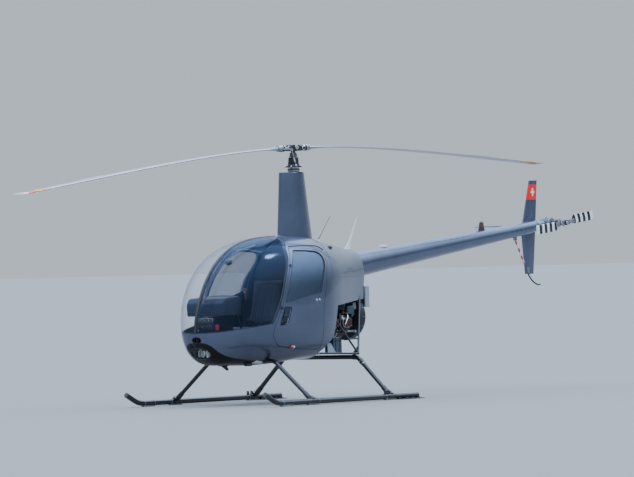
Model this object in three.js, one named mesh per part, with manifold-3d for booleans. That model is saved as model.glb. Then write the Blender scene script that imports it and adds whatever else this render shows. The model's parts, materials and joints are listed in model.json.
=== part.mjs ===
// A light two-seat helicopter that stands on its skids, in millimetres.
// +X points to the nose, +Y to the left side and +Z up. The main rotor's axis is x = 0, y = 0
// in every table here, and the finished group is moved along X so that its box is centred.
import * as THREE from 'three';
import { mergeVertices } from 'three/addons/utils/BufferGeometryUtils.js';
import Module from 'manifold-3d';

const wasm = await Module();
wasm.setup();

// Resting gap, and the gap round each door
const SEAM = 0.3;
const DOOR_GAP = 8.5;

// Wall thicknesses
const SKIN = 25;
const GLASS = 6;
const PANE_FROM = 8;
const PANE_TO = 13;

// Cabin and cowling body, as slanted ribs from the nose to the tail cone
const RIBS = [
  // topX, topZ, bottomX, bottomZ, halfWidth, waist, upperPower, lowerPower
  [1632, 720, 1618, 660, 22, 0.50, 2.0, 2.0],
  [1640, 790, 1592, 582, 135, 0.45, 2.0, 2.3],
  [1626, 905, 1539, 496, 222, 0.42, 2.1, 2.4],
  [1575, 1060, 1415, 427, 305, 0.42, 2.2, 2.65],
  [1470, 1265, 1257, 414, 398, 0.46, 2.3, 2.55],
  [1300, 1465, 1090, 408, 475, 0.50, 2.4, 2.65],
  [1060, 1620, 900, 404, 530, 0.54, 2.5, 2.9],
  [760, 1705, 700, 412, 556, 0.56, 2.5, 3.3],
  [450, 1735, 450, 438, 562, 0.56, 2.5, 4.2],
  [150, 1735, 150, 447, 548, 0.50, 2.4, 4.5],
  [-100, 1716, -100, 452, 486, 0.40, 2.1, 4.3],
  [-350, 1668, -350, 466, 392, 0.33, 1.9, 4.0],
  [-650, 1612, -650, 482, 275, 0.30, 1.9, 4.0],
  [-930, 1570, -930, 500, 172, 0.27, 2.0, 4.0],
];
const STATIONS = 22;
const ROUND = 28;

// Outlines in side view, [x, z]
const FAR = 1900;
const WINDSHIELD = [
  [FAR, 717], [1007, 829], [915, 1007], [804, 1267], [690, 1462],
  [615, 1600], [520, 1665], [400, 1715], [283, 1762], [283, FAR], [FAR, FAR],
];
const DOOR = [
  [570, 1603], [640, 1510], [667, 1455], [780, 1260], [890, 1000], [977, 810], [990, 750],
  [985, 700], [940, 639], [878, 601], [630, 570], [300, 553], [262, 556], [250, 575],
  [236, 996], [148, 1317], [84, 1452], [58, 1530], [75, 1562], [312, 1597],
];
const MAIN_WINDOW = [
  [537, 1576], [328, 1570], [109, 1515], [143, 1390], [266, 1137], [838, 1045],
];
const LOW_WINDOW = [[852, 1006], [748, 996], [787, 873], [822, 821], [921, 811], [900, 889]];
const CABIN_AFT = [[212, 520], [100, 1000], [20, 1292], [-30, 1500], [-60, 1640], [-60, FAR]];
const BAY_TOP = [[212, 520], [13, 680], [-74, 997], [-867, 1054]];
const CREASE_Z = 1292;
const COWL_AFT = -920;
const SILL = [[1007, 829], [957, 812], [500, 800], [262, 546], [212, 520]];

// Floor, firewall and the parts on them
const FLOOR = { x0: 216, x1: 1430, z0: 478, z1: 493 };
const FIREWALL_T = 18;
const DECK = { x0: -440, z0: 1258, z1: 1276 };
const BULKHEAD = { x0: -868, x1: -850, z0: 1150 };

// Mast fairing, rotor mast and head
const FAIRING = { baseX: 11, baseHalf: 264, baseWide: 100, topX: 39, topHalf: 181, topWide: 85 };
const FAIRING_BASE_Z = 1600;
const FAIRING_TOP_Z = 2400;
const MAST_R = 24;
const MAST_HOLE_R = 36;
const GEARBOX = { r: 62, z0: DECK.z1 + SEAM, z1: 1590 };
const HUB_Z = 2656;
const CONING_R = 107;
const ROTOR_R = 3835;
const BLADE_ROOT_R = 330;
const BLADE_CHORD = 183;
const BLADE_THICK = 22;
const BLADE_LINE_DEG = -4.97;
const TIP_SAG = 317;
const TEETER_RISE = 135;

// Tail
const CONE = { x0: -868.3, z0: 1402.7, r0: 139, x1: -4100, z1: 1775.5, r1: 66.5, wall: 8 };
const TAIL_HUB = { x: -4390, y: 270, z: 1820 };
const TAIL_R = 533.5;
const TAIL_CHORD = 102;
const TAIL_LINE_DEG = 6.4;

// Landing gear
const SKID = { y: 937, z: 34, r: 28, aft: -810, bend: 1435, tipX: 1675, tipZ: 130 };
const GEAR = [
  // name, footX, elbowY, elbowZ, radius
  ['front', 914, 430, 452, 22],
  ['rear', -368, 503, 447, 24],
];

// Steel tube frame of the engine bay, left side
const TUBE_R = 11;
const CORNER = [-375, 503, GEAR[1][3] + GEAR[1][4] + 3 + TUBE_R];
const FORE_FOOT = [210.3, 431, 505];
const FORE_TOP = [62, 256, 1228];
const AFT_TOP = [-837, 176, 1190];

// Bare shape helpers
function vec(p) {
  return new THREE.Vector3(p[0], p[1], p[2]);
}

function share(a, b, z) {
  const t = (z - a[2]) / (b[2] - a[2]);
  return a.map((v, k) => v + (b[k] - v) * t);
}

function flip([x, y, z], sign) {
  return [x, sign * y, z];
}

function closed(geometry) {
  const bare = geometry.clone();
  bare.deleteAttribute('normal');
  bare.deleteAttribute('uv');
  const welded = mergeVertices(bare, 1e-3);
  const mesh = new wasm.Mesh({
    numProp: 3,
    vertProperties: new Float32Array(welded.attributes.position.array),
    triVerts: new Uint32Array(welded.index.array),
  });
  return new wasm.Manifold(mesh);
}

function open(manifold) {
  const mesh = manifold.getMesh();
  const geometry = new THREE.BufferGeometry();
  geometry.setAttribute('position', new THREE.BufferAttribute(mesh.vertProperties, 3));
  geometry.setIndex(new THREE.BufferAttribute(mesh.triVerts, 1));
  return geometry;
}

function box(x0, x1, y0, y1, z0, z1) {
  const geometry = new THREE.BoxGeometry(x1 - x0, y1 - y0, z1 - z0);
  geometry.translate((x0 + x1) / 2, (y0 + y1) / 2, (z0 + z1) / 2);
  return closed(geometry);
}

function rod(from, to, radius, sides = 12, endRadius = radius) {
  const a = vec(from);
  const b = vec(to);
  const geometry = new THREE.CylinderGeometry(endRadius, radius, a.distanceTo(b), sides);
  const along = b.clone().sub(a).normalize();
  const turn = new THREE.Quaternion().setFromUnitVectors(new THREE.Vector3(0, 1, 0), along);
  geometry.applyQuaternion(turn);
  geometry.translate((a.x + b.x) / 2, (a.y + b.y) / 2, (a.z + b.z) / 2);
  return closed(geometry);
}

function ball(at, radius, sides = 10) {
  const geometry = new THREE.SphereGeometry(radius, sides, sides / 2);
  geometry.translate(at[0], at[1], at[2]);
  return closed(geometry);
}

function bentTube(points, radius, sides = 12) {
  let tube = rod(points[0], points[1], radius, sides);
  for (let i = 1; i < points.length - 1; i += 1) {
    tube = tube.add(ball(points[i], radius, sides));
    tube = tube.add(rod(points[i], points[i + 1], radius, sides));
  }
  return tube;
}

function join(...solids) {
  return solids.reduce((sum, one) => sum.add(one));
}

// A side-view outline as a wall from y0 to y1
function prism(outline, y0, y1) {
  const shape = new THREE.Shape(outline.map(([x, z]) => new THREE.Vector2(x, z)));
  const geometry = new THREE.ExtrudeGeometry(shape, { depth: y1 - y0, bevelEnabled: false });
  geometry.rotateX(Math.PI / 2);
  geometry.translate(0, y1, 0);
  return closed(geometry);
}

// An outline moved out by d, or in by a negative d, with mitred corners
function grow(outline, d) {
  const n = outline.length;
  let area = 0;
  outline.forEach(([x, z], i) => {
    const [nx, nz] = outline[(i + 1) % n];
    area += x * nz - nx * z;
  });
  const side = area > 0 ? 1 : -1;
  const normal = (a, b) => {
    const length = Math.hypot(b[0] - a[0], b[1] - a[1]);
    return [side * (b[1] - a[1]) / length, -side * (b[0] - a[0]) / length];
  };
  return outline.map((p, i) => {
    const before = normal(outline[(i + n - 1) % n], p);
    const after = normal(p, outline[(i + 1) % n]);
    const scale = d / (1 + before[0] * after[0] + before[1] * after[1]);
    return [p[0] + scale * (before[0] + after[0]), p[1] + scale * (before[1] + after[1])];
  });
}

// An outline with its corners cut by short curves
function soften(outline, reach) {
  const n = outline.length;
  const path = new THREE.Path();
  outline.forEach((p, i) => {
    const a = new THREE.Vector2(...outline[(i + n - 1) % n]);
    const b = new THREE.Vector2(...p);
    const c = new THREE.Vector2(...outline[(i + 1) % n]);
    const start = b.clone().lerp(a, Math.min(0.45, reach / a.distanceTo(b)));
    const end = b.clone().lerp(c, Math.min(0.45, reach / c.distanceTo(b)));
    if (i === 0) path.moveTo(start.x, start.y);
    else path.lineTo(start.x, start.y);
    path.quadraticCurveTo(b.x, b.y, end.x, end.y);
  });
  return path.getPoints(3).map((p) => [p.x, p.y]);
}

// A closed solid through rings of equal point count, with flat ends
function loft(rings) {
  const count = rings[0].length;
  const points = rings.flat();
  const faces = [];
  for (let i = 0; i < rings.length - 1; i += 1) {
    for (let j = 0; j < count; j += 1) {
      const a = i * count + j;
      const b = i * count + ((j + 1) % count);
      faces.push(a, b, b + count, a, b + count, a + count);
    }
  }
  [0, rings.length - 1].forEach((i) => {
    const centre = rings[i].reduce((sum, p) => sum.map((v, k) => v + p[k] / count), [0, 0, 0]);
    points.push(centre);
    const middle = points.length - 1;
    for (let j = 0; j < count; j += 1) {
      const a = i * count + j;
      const b = i * count + ((j + 1) % count);
      if (i === 0) faces.push(middle, b, a);
      else faces.push(middle, a, b);
    }
  });
  let volume = 0;
  for (let f = 0; f < faces.length; f += 3) {
    const [a, b, c] = [0, 1, 2].map((k) => vec(points[faces[f + k]]));
    volume += a.dot(b.cross(c));
  }
  if (volume < 0) faces.reverse();
  const geometry = new THREE.BufferGeometry();
  geometry.setAttribute('position', new THREE.Float32BufferAttribute(points.flat(), 3));
  geometry.setIndex(faces);
  return closed(geometry);
}

// The body's skin
function ribAt(t) {
  const last = RIBS.length - 1;
  const i = Math.min(Math.max(Math.floor(t), 0), last - 1);
  const u = t - i;
  const mirror = (a, b) => a.map((v, k) => 2 * v - b[k]);
  const p0 = i > 0 ? RIBS[i - 1] : mirror(RIBS[0], RIBS[1]);
  const p1 = RIBS[i];
  const p2 = RIBS[i + 1];
  const p3 = i + 2 <= last ? RIBS[i + 2] : mirror(RIBS[last], RIBS[last - 1]);
  return p1.map((v, k) => 0.5 * (2 * v + (p2[k] - p0[k]) * u
    + (2 * p0[k] - 5 * v + 4 * p2[k] - p3[k]) * u * u
    + (3 * v - p0[k] - 3 * p2[k] + p3[k]) * u * u * u));
}

function skinPoint(t, angle) {
  const [topX, topZ, lowX, lowZ, half, waist, upper, lower] = ribAt(t);
  const x = topX + (lowX - topX) * waist;
  const z = topZ + (lowZ - topZ) * waist;
  const rise = Math.cos(angle);
  const out = Math.sin(angle);
  const power = rise >= 0 ? upper : lower;
  const reach = Math.abs(rise) ** (2 / power);
  const endX = rise >= 0 ? topX : lowX;
  const endZ = rise >= 0 ? topZ : lowZ;
  const y = Math.sign(out) * half * Math.abs(out) ** (2 / power);
  return new THREE.Vector3(x + (endX - x) * reach, y, z + (endZ - z) * reach);
}

function skinNormal(t, angle) {
  const step = 0.02;
  const last = RIBS.length - 1;
  const t0 = Math.max(t - step, 0);
  const t1 = Math.min(t + step, last);
  const along = skinPoint(t1, angle).sub(skinPoint(t0, angle));
  const around = skinPoint(t, angle + step).sub(skinPoint(t, angle - step));
  return around.cross(along).normalize();
}

function bodySolid(inset) {
  const rings = [];
  for (let i = 0; i <= STATIONS; i += 1) {
    const t = (i / STATIONS) * (RIBS.length - 1);
    const ring = [];
    for (let j = 0; j < ROUND; j += 1) {
      const angle = (j / ROUND) * 2 * Math.PI;
      const p = skinPoint(t, angle).addScaledVector(skinNormal(t, angle), -inset);
      ring.push([p.x, p.y, p.z]);
    }
    rings.push(ring);
  }
  return loft(rings);
}

const body = bodySolid(0);
const inside = bodySolid(SKIN);
const room = bodySolid(SKIN + SEAM);
const wall = body.subtract(inside);
const pane = body.subtract(bodySolid(GLASS));
const doorPane = bodySolid(PANE_FROM).subtract(bodySolid(PANE_TO));

// Both sides of a like pair: 1 is left, -1 is right
const SIDES = [['left', 1], ['right', -1]];
const WIDE = 900;
function sidePrism(outline, sign, near = 0, far = WIDE) {
  return sign > 0 ? prism(outline, near, far) : prism(outline, -far, -near);
}

const helicopter = new THREE.Group();
const PAINTS = {
  // colour, roughness, metalness
  paint: [0x6d7785, 0.35, 0.4],
  belly: [0x7d7c80, 0.4, 0.4],
  glass: [0x9fb6bd, 0.05, 0.0],
  black: [0x17181a, 0.3, 0.2],
  steel: [0xb9bcc0, 0.3, 0.9],
  alloy: [0x8f959c, 0.4, 0.8],
  blade: [0xa7abad, 0.45, 0.3],
  white: [0xe6e6e2, 0.4, 0.0],
  trim: [0x2a3346, 0.8, 0.0],
  rust: [0x6d4034, 0.7, 0.3],
  red: [0xc02a22, 0.3, 0.0],
};

function add(name, solid, paint) {
  const [color, roughness, metalness] = PAINTS[paint];
  const material = new THREE.MeshStandardMaterial({ color, roughness, metalness });
  const mesh = new THREE.Mesh(open(solid), material);
  mesh.name = name;
  helicopter.add(mesh);
}

// Door hinges stand on a line just outside the skin, top to bottom
const HINGE_TOP = [671, 494, 1452];
const HINGE_LOW = [911, 562, 965];
const KNUCKLE = { r: 7, half: 17, air: 0.5, plate: 6, deep: 33, high: 5 };
const LEAF = {
  // reach of the outer plate and of the leg into the skin, along X from the hinge line
  door: { plate: [-36, 0], leg: [-36, -14] },
  frame: { plate: [0, 20], leg: [10, 20] },
};
const KNUCKLES = [0.06, 0.94];
const HINGE_LONG = vec(HINGE_TOP).distanceTo(vec(HINGE_LOW));

function hingePoint(share, sign) {
  const p = HINGE_TOP.map((v, k) => v + (HINGE_LOW[k] - v) * share);
  return [p[0], sign * p[1], p[2]];
}

// The lower half of each knuckle turns with the door, and the upper half is the frame's
function knuckles(sign, part) {
  const way = part === 'door' ? 1 : -1;
  return join(...KNUCKLES.map((share) => {
    const s0 = share + way * KNUCKLE.air / HINGE_LONG;
    const s1 = share + way * KNUCKLE.half / HINGE_LONG;
    const [x, y, z] = hingePoint((s0 + s1) / 2, 1);
    const slab = ([x0, x1], deep) => box(
      x + x0,
      x + x1,
      Math.min(sign * (y - deep), sign * y),
      Math.max(sign * (y - deep), sign * y),
      z - KNUCKLE.high,
      z + KNUCKLE.high,
    );
    return join(
      rod(hingePoint(s0, sign), hingePoint(s1, sign), KNUCKLE.r, 12),
      slab(LEAF[part].plate, KNUCKLE.plate),
      slab(LEAF[part].leg, KNUCKLE.deep),
    );
  }));
}

// Doors
const HANDLE = { x0: 285, x1: 365, y: 583, z: 1062 };
function doorHoles(sign, spread) {
  const main = soften(grow(MAIN_WINDOW, spread), 70);
  const low = soften(grow(LOW_WINDOW, spread), 16);
  return sidePrism(main, sign).add(sidePrism(low, sign));
}

SIDES.forEach(([side, sign]) => {
  const leaf = wall.intersect(sidePrism(soften(DOOR, 14), sign)).subtract(doorHoles(sign, 0));
  const grip = join(
    rod([HANDLE.x0, sign * HANDLE.y, HANDLE.z], [HANDLE.x1, sign * HANDLE.y, HANDLE.z], 7, 10),
    ...[HANDLE.x0 + 12, HANDLE.x1 - 12].map((x) => rod([x, sign * (HANDLE.y - 34), HANDLE.z],
      [x, sign * HANDLE.y, HANDLE.z], 6, 10)),
  );
  add(`door_${side}`, join(leaf, knuckles(sign, 'door'), grip), 'paint');
  const main = sidePrism(soften(grow(MAIN_WINDOW, -SEAM), 70), sign);
  add(`door_window_${side}`, doorPane.intersect(main), 'glass');
});

// Cabin shell, in a lower tub and an upper frame with the door posts
const doorCut = prism(soften(grow(DOOR, DOOR_GAP), 14), -WIDE, WIDE);
const shieldCut = prism(WINDSHIELD, -WIDE, WIDE);
const aftReversed = [...CABIN_AFT].reverse();
const BOW_HALF = 13;

const tubOutline = [[FAR, 300], [FAR, 717 - SEAM], ...grow(SILL, 0).map(([x, z]) => [x, z - SEAM]),
  [212, 300]];

// A cross tube with its bent ends, and the leg that goes on from it; extra widens both for a hole
const ELBOW_OUT = 30;
function crossTube([, footX, elbowY, elbowZ, radius], extra = 0) {
  const slope = (elbowZ - SKID.z) / (SKID.y - elbowY);
  return join(
    rod([footX, -elbowY, elbowZ], [footX, elbowY, elbowZ], radius + extra),
    ...SIDES.map(([, sign]) => join(
      ball([footX, sign * elbowY, elbowZ], radius + extra + 1),
      rod([footX, sign * elbowY, elbowZ],
        [footX, sign * (elbowY + ELBOW_OUT), elbowZ - ELBOW_OUT * slope], radius + extra),
    )),
  );
}

function leg([, footX, elbowY, elbowZ, radius], sign, extra = 0) {
  const slope = (elbowZ - SKID.z) / (SKID.y - elbowY);
  const out = ELBOW_OUT + 2 * SEAM;
  const start = [footX, sign * (elbowY + out), elbowZ - out * slope];
  return rod(start, [footX, sign * SKID.y, SKID.z], radius - 2 + extra);
}

const HOLE = 1;
const gearHoles = join(
  crossTube(GEAR[0], HOLE),
  leg(GEAR[0], 1, HOLE),
  leg(GEAR[0], -1, HOLE),
);
const LAMP = { x0: 1380, z: 546, wide: 130, high: 58 };
const VENT = { z: 683, wide: 58, high: 33 };

function ovalHole(from, to, z, wide, high) {
  const geometry = new THREE.CylinderGeometry(1, 1, to - from, 24);
  geometry.rotateZ(Math.PI / 2);
  geometry.scale(1, wide, high);
  geometry.translate((from + to) / 2, 0, z);
  return closed(geometry);
}

const tub = wall.intersect(prism(tubOutline, -WIDE, WIDE))
  .subtract(doorCut)
  .subtract(ovalHole(LAMP.x0, FAR, LAMP.z, LAMP.wide, LAMP.high))
  .subtract(ovalHole(LAMP.x0, FAR, VENT.z, VENT.wide, VENT.high))
  .subtract(gearHoles);
add('nose_and_belly', tub, 'belly');
const lampOval = ovalHole(LAMP.x0, FAR, LAMP.z, LAMP.wide - SEAM, LAMP.high - SEAM);
add('lamp_window', bodySolid(2).subtract(bodySolid(7)).intersect(lampOval), 'glass');
const lampTray = bodySolid(SKIN + SEAM).subtract(bodySolid(SKIN + 12))
  .intersect(ovalHole(LAMP.x0 - 60, FAR, LAMP.z, LAMP.wide + 14, LAMP.high + 14));
const LAMP_BULB = { x0: 1480, x1: 1522, y: 48, z: 548, r: 38 };
add('landing_lamps', join(lampTray, ...SIDES.map(([, sign]) => rod(
  [LAMP_BULB.x0, sign * LAMP_BULB.y, LAMP_BULB.z],
  [LAMP_BULB.x1, sign * LAMP_BULB.y, LAMP_BULB.z],
  LAMP_BULB.r,
  20,
))), 'steel');

const frameOutline = [...SILL, ...CABIN_AFT.slice(1), [FAR, FAR], [FAR, 717]];
const mastHole = rod([0, 0, 1500], [0, 0, 1900], MAST_HOLE_R, 24);
const frame = wall.intersect(prism(frameOutline, -WIDE, WIDE))
  .subtract(prism(grow(WINDSHIELD, SEAM), -WIDE, WIDE))
  .subtract(doorCut)
  .subtract(mastHole);
add('cabin_frame', join(frame, knuckles(1, 'frame'), knuckles(-1, 'frame')), 'paint');

SIDES.forEach(([side, sign]) => {
  const half = sidePrism(WINDSHIELD, sign, BOW_HALF + SEAM);
  add(`windshield_${side}`, pane.intersect(half), 'glass');
});
const bowWall = body.subtract(bodySolid(SKIN + 10));
add('windshield_bow', bowWall.intersect(prism(WINDSHIELD, -BOW_HALF, BOW_HALF)), 'black');

// Cowlings behind the cabin
const CONE_FRONT = [CONE.x0, 0, CONE.z0];
const CONE_REAR = [CONE.x1, 0, CONE.z1];
const coneGrown = rod([CONE.x0 + SEAM, 0, CONE.z0], CONE_REAR, CONE.r0 + SEAM, 32, CONE.r1 + SEAM);
const SIDE_AFT = -912;
const sideOutline = [...BAY_TOP, [SIDE_AFT, CREASE_Z], [20 - SEAM, CREASE_Z],
  [100 - SEAM, 1000]];
const topOutline = [[COWL_AFT, CREASE_Z + SEAM], [COWL_AFT, FAR],
  ...aftReversed.slice(0, 3).map(([x, z]) => [x - SEAM, z]), [20 - SEAM, CREASE_Z + SEAM]];
SIDES.forEach(([side, sign]) => {
  const tubeEnd = share(CORNER, AFT_TOP, AFT_TOP[2] + 40);
  const tubeCut = rod(flip(CORNER, sign), flip(tubeEnd, sign), TUBE_R + HOLE);
  const cowl = wall.intersect(sidePrism(sideOutline, sign)).subtract(coneGrown);
  add(`side_cowl_${side}`, cowl.subtract(tubeCut), 'paint');
});
add('upper_cowl', wall.intersect(prism(topOutline, -WIDE, WIDE)).subtract(coneGrown), 'paint');

// Floor, firewall with its deck, and the aft bulkhead
add('cabin_floor', room.intersect(box(FLOOR.x0, FLOOR.x1, -WIDE, WIDE, FLOOR.z0, FLOOR.z1))
  .subtract(gearHoles), 'trim');
const FIREWALL_LOW = [FLOOR.x0 + 4, FLOOR.z1 + SEAM];
const FIREWALL_BEND = [72, DECK.z1];
const firewallOutline = [
  FIREWALL_LOW, [FIREWALL_LOW[0] + FIREWALL_T, FIREWALL_LOW[1]],
  [FIREWALL_BEND[0] + FIREWALL_T, FIREWALL_BEND[1]], [FIREWALL_BEND[0] + FIREWALL_T, FAR],
  [FIREWALL_BEND[0], FAR], FIREWALL_BEND,
  [DECK.x0, DECK.z1], [DECK.x0, DECK.z0], [FIREWALL_BEND[0] + 3, DECK.z0],
];
const besideDoor = doorCut.subtract(bodySolid(SKIN + DOOR_GAP));
const firewall = room.intersect(prism(firewallOutline, -WIDE, WIDE)).subtract(besideDoor);
add('firewall', firewall, 'alloy');
const bulkhead = room.intersect(box(BULKHEAD.x0, BULKHEAD.x1, -WIDE, WIDE, BULKHEAD.z0, FAR));
add('aft_bulkhead', bulkhead.subtract(coneGrown), 'alloy');

// Mast fairing and the fixed gearbox and swashplate
function ovalRing(cx, half, wide, z, count = 28) {
  const ring = [];
  for (let j = 0; j < count; j += 1) {
    const angle = (j / count) * 2 * Math.PI;
    ring.push([cx + half * Math.cos(angle), wide * Math.sin(angle), z]);
  }
  return ring;
}
const F = FAIRING;
const fairing = loft([
  ovalRing(F.baseX, F.baseHalf, F.baseWide, FAIRING_BASE_Z),
  ovalRing(F.baseX, F.baseHalf, F.baseWide, 1730),
  ovalRing((F.baseX + F.topX) / 2, (F.baseHalf + F.topHalf) / 2, 92, 2040),
  ovalRing(F.topX, F.topHalf, F.topWide, FAIRING_TOP_Z),
]).subtract(bodySolid(-SEAM)).subtract(rod([0, 0, 1500], [0, 0, 2500], MAST_HOLE_R, 24));
add('mast_fairing', fairing, 'paint');

const gearbox = rod([0, 0, GEARBOX.z0], [0, 0, GEARBOX.z1], GEARBOX.r, 24)
  .subtract(rod([0, 0, GEARBOX.z1 - 60], [0, 0, GEARBOX.z1 + 1], MAST_R + SEAM, 24));
add('main_gearbox', gearbox, 'alloy');

// Rotor mast, hub and blades, all one turning body
const MAST_FOOT_Z = GEARBOX.z1 - 60 + SEAM;
const SWASH_Z = 2462;
const lineAngle = THREE.MathUtils.degToRad(BLADE_LINE_DEG);
function onBlade(r, across, z) {
  const c = Math.cos(lineAngle);
  const s = Math.sin(lineAngle);
  return [r * c - across * s, r * s + across * c, z];
}

function turned(solid) {
  const geometry = open(solid);
  geometry.rotateZ(lineAngle);
  return closed(geometry);
}

const mast = join(
  rod([0, 0, MAST_FOOT_Z], [0, 0, HUB_Z], MAST_R, 24),
  rod([0, 0, 2410], [0, 0, 2470], 62, 20, 48),
  rod([0, 0, 2470], [0, 0, 2486], 74, 20),
  rod([0, 0, 2486], [0, 0, 2560], 44, 20, 34),
);
const hub = join(
  box(-70, 70, -48, 48, HUB_Z - 34, HUB_Z + 34),
  box(-128, 128, -44, 44, HUB_Z - 26, HUB_Z + 22),
  rod([0, -66, HUB_Z + 22], [0, 66, HUB_Z + 22], 22),
  rod([CONING_R, -62, HUB_Z], [CONING_R, 62, HUB_Z], 26),
  rod([-CONING_R, -62, HUB_Z], [-CONING_R, 62, HUB_Z], 26),
);
const links = join(...[1, -1].map((end) => join(
  rod([end * 40, end * 68, 2478], [end * 122, end * 96, HUB_Z - 24], 7, 10),
  box(end > 0 ? 112 : -130, end > 0 ? 130 : -112, end > 0 ? 44 : -104, end > 0 ? 104 : -44,
    HUB_Z - 32, HUB_Z - 14),
)));
add('rotor_mast_and_hub', mast.add(turned(join(hub, links))), 'steel');

function sag(r) {
  const s = Math.max(r - CONING_R, 0) / (ROTOR_R - CONING_R);
  return TIP_SAG * s * s * (6 - 4 * s + s * s) / 3;
}

function bladeRing(r, end, chord, thick) {
  const z = HUB_Z - sag(r) - end * TEETER_RISE * (r / ROTOR_R);
  const profile = [
    // share of chord from the leading edge, share of half thickness
    [0, 0], [0.03, 0.55], [0.12, 0.9], [0.3, 1], [0.6, 0.68], [1, 0.03],
    [1, -0.03], [0.6, -0.68], [0.3, -1], [0.12, -0.9], [0.03, -0.55],
  ];
  return profile.map(([along, up]) => onBlade(
    end * r,
    end * (along - 0.25) * -chord,
    z + up * thick / 2,
  ));
}

const BLADES = [['front', 1], ['rear', -1]];
const BLADE_STEPS = 10;
BLADES.forEach(([name, end]) => {
  const rings = [];
  for (let i = 0; i <= BLADE_STEPS; i += 1) {
    const r = BLADE_ROOT_R + (ROTOR_R - BLADE_ROOT_R) * (i / BLADE_STEPS);
    rings.push(bladeRing(r, end, BLADE_CHORD, BLADE_THICK));
  }
  const rootZ = (r) => HUB_Z - sag(r) - end * TEETER_RISE * (r / ROTOR_R);
  const grip = join(
    rod(onBlade(end * 133.2, 0, rootZ(133.2)), onBlade(end * 300, 0, rootZ(300)), 38, 16, 34),
    rod(onBlade(end * 290, 0, rootZ(290)), onBlade(end * 400, 0, rootZ(400)), 30, 16, 9),
    loft([bladeRing(240, end, 90, 40), bladeRing(345, end, BLADE_CHORD - 4, 26)]),
  );
  add(`main_blade_${name}`, join(loft(rings), grip), 'blade');
});

// Tail cone, fins, stabiliser, tail skid, gearbox and guard rod
const coneBore = rod(
  [CONE.x0 + 1, 0, CONE.z0],
  [CONE.x1 - 1, 0, CONE.z1],
  CONE.r0 - CONE.wall,
  32,
  CONE.r1 - CONE.wall,
);
add('tail_cone', rod(CONE_FRONT, CONE_REAR, CONE.r0, 32, CONE.r1).subtract(coneBore), 'paint');

const FIN_T = 24;
const FIN_UPPER = [[-4057, 1800], [-4206, 2305], [-4355, 2305], [-4309, 1800]];
const FIN_LOWER = [[-4030, 1800], [-4093, 1257], [-4251, 1257], [-4309, 1800]];
const finY = -(CONE.r1 + 2 + FIN_T);
add('tail_fins', join(prism(FIN_UPPER, finY, finY + FIN_T), prism(FIN_LOWER, finY, finY + FIN_T)),
  'paint');
const STAB = { x0: -4330, x1: -4060, y: -760, z: 1790, t: 22 };
const stabiliser = box(STAB.x0, STAB.x1, STAB.y, finY - SEAM, STAB.z, STAB.z + STAB.t);
add('stabiliser', stabiliser, 'paint');

const SKID_Y = finY + FIN_T / 2;
const tailSkid = bentTube([[-4140, SKID_Y, 1300], [-4158, SKID_Y, 1246],
  [-4230, SKID_Y, 1175], [-4334, SKID_Y, 1129], [-4372, SKID_Y, 1140]], 9, 8);
const finCut = prism(grow(FIN_LOWER, SEAM), finY - SEAM, finY + FIN_T + SEAM);
add('tail_skid', tailSkid.subtract(finCut), 'black');

const T = TAIL_HUB;
const tailBox = join(
  rod([CONE.x1 - SEAM, 0, CONE.z1 + 2], [T.x + 60, 0, T.z - 8], CONE.r1 - 6, 20, 40),
  rod([-4220, 0, 1798], [-4220, finY + FIN_T + SEAM, 1798], 34, 16),
  rod([T.x, -52, T.z], [T.x, 90, T.z], 62, 20),
  rod([T.x, 89, T.z], [T.x, 150, T.z], 34, 20),
).subtract(coneGrown);
add('tail_gearbox', tailBox, 'alloy');

const tailLine = THREE.MathUtils.degToRad(TAIL_LINE_DEG);
function tailSpin(solid) {
  const geometry = open(solid);
  geometry.rotateY(tailLine);
  geometry.translate(T.x, T.y, T.z);
  return closed(geometry);
}
const TAIL_SHAFT_Y = 150 + SEAM;
const tailHub = join(
  rod([0, TAIL_SHAFT_Y - T.y, 0], [0, 34, 0], 20, 20),
  box(-78, 78, -18, 18, -26, 26),
  rod([-46, -60, 0], [46, -60, 0], 11, 12),
  rod([0, -100, 0], [0, -80, 0], 46, 20),
);
add('tail_rotor_hub', tailSpin(tailHub), 'black');

function tailRing(r, end) {
  const half = 6.5;
  const front = TAIL_CHORD * 0.3;
  return [[front, 0], [front - 14, half], [-10, half], [front - TAIL_CHORD, 0.7],
    [front - TAIL_CHORD, -0.7], [-10, -half], [front - 14, -half]]
    .map(([across, y]) => [end * r, y, end * across]);
}
[['front', 1], ['rear', -1]].forEach(([name, end]) => {
  const ear = end > 0 ? box(78 + SEAM, 150, -12, 12, -24, 24) : box(-150, -78 - SEAM, -12, 12, -24, 24);
  const blade = join(loft([tailRing(130, end), tailRing(TAIL_R, end)]), ear);
  add(`tail_blade_${name}`, tailSpin(blade), 'black');
});

const guardRod = rod([-3845, -20, 1640], [-4075, finY + FIN_T / 2, 1391], 11, 12);
add('guard_rod', guardRod.subtract(coneGrown).subtract(finCut), 'red');

// Landing gear
GEAR.forEach((row) => {
  add(`${row[0]}_cross_tube`, crossTube(row), 'black');
  SIDES.forEach(([side, sign]) => {
    const skidCut = rod([-1000, sign * SKID.y, SKID.z], [1600, sign * SKID.y, SKID.z],
      SKID.r + SEAM);
    add(`${row[0]}_leg_${side}`, leg(row, sign).subtract(skidCut), 'black');
  });
});

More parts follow.
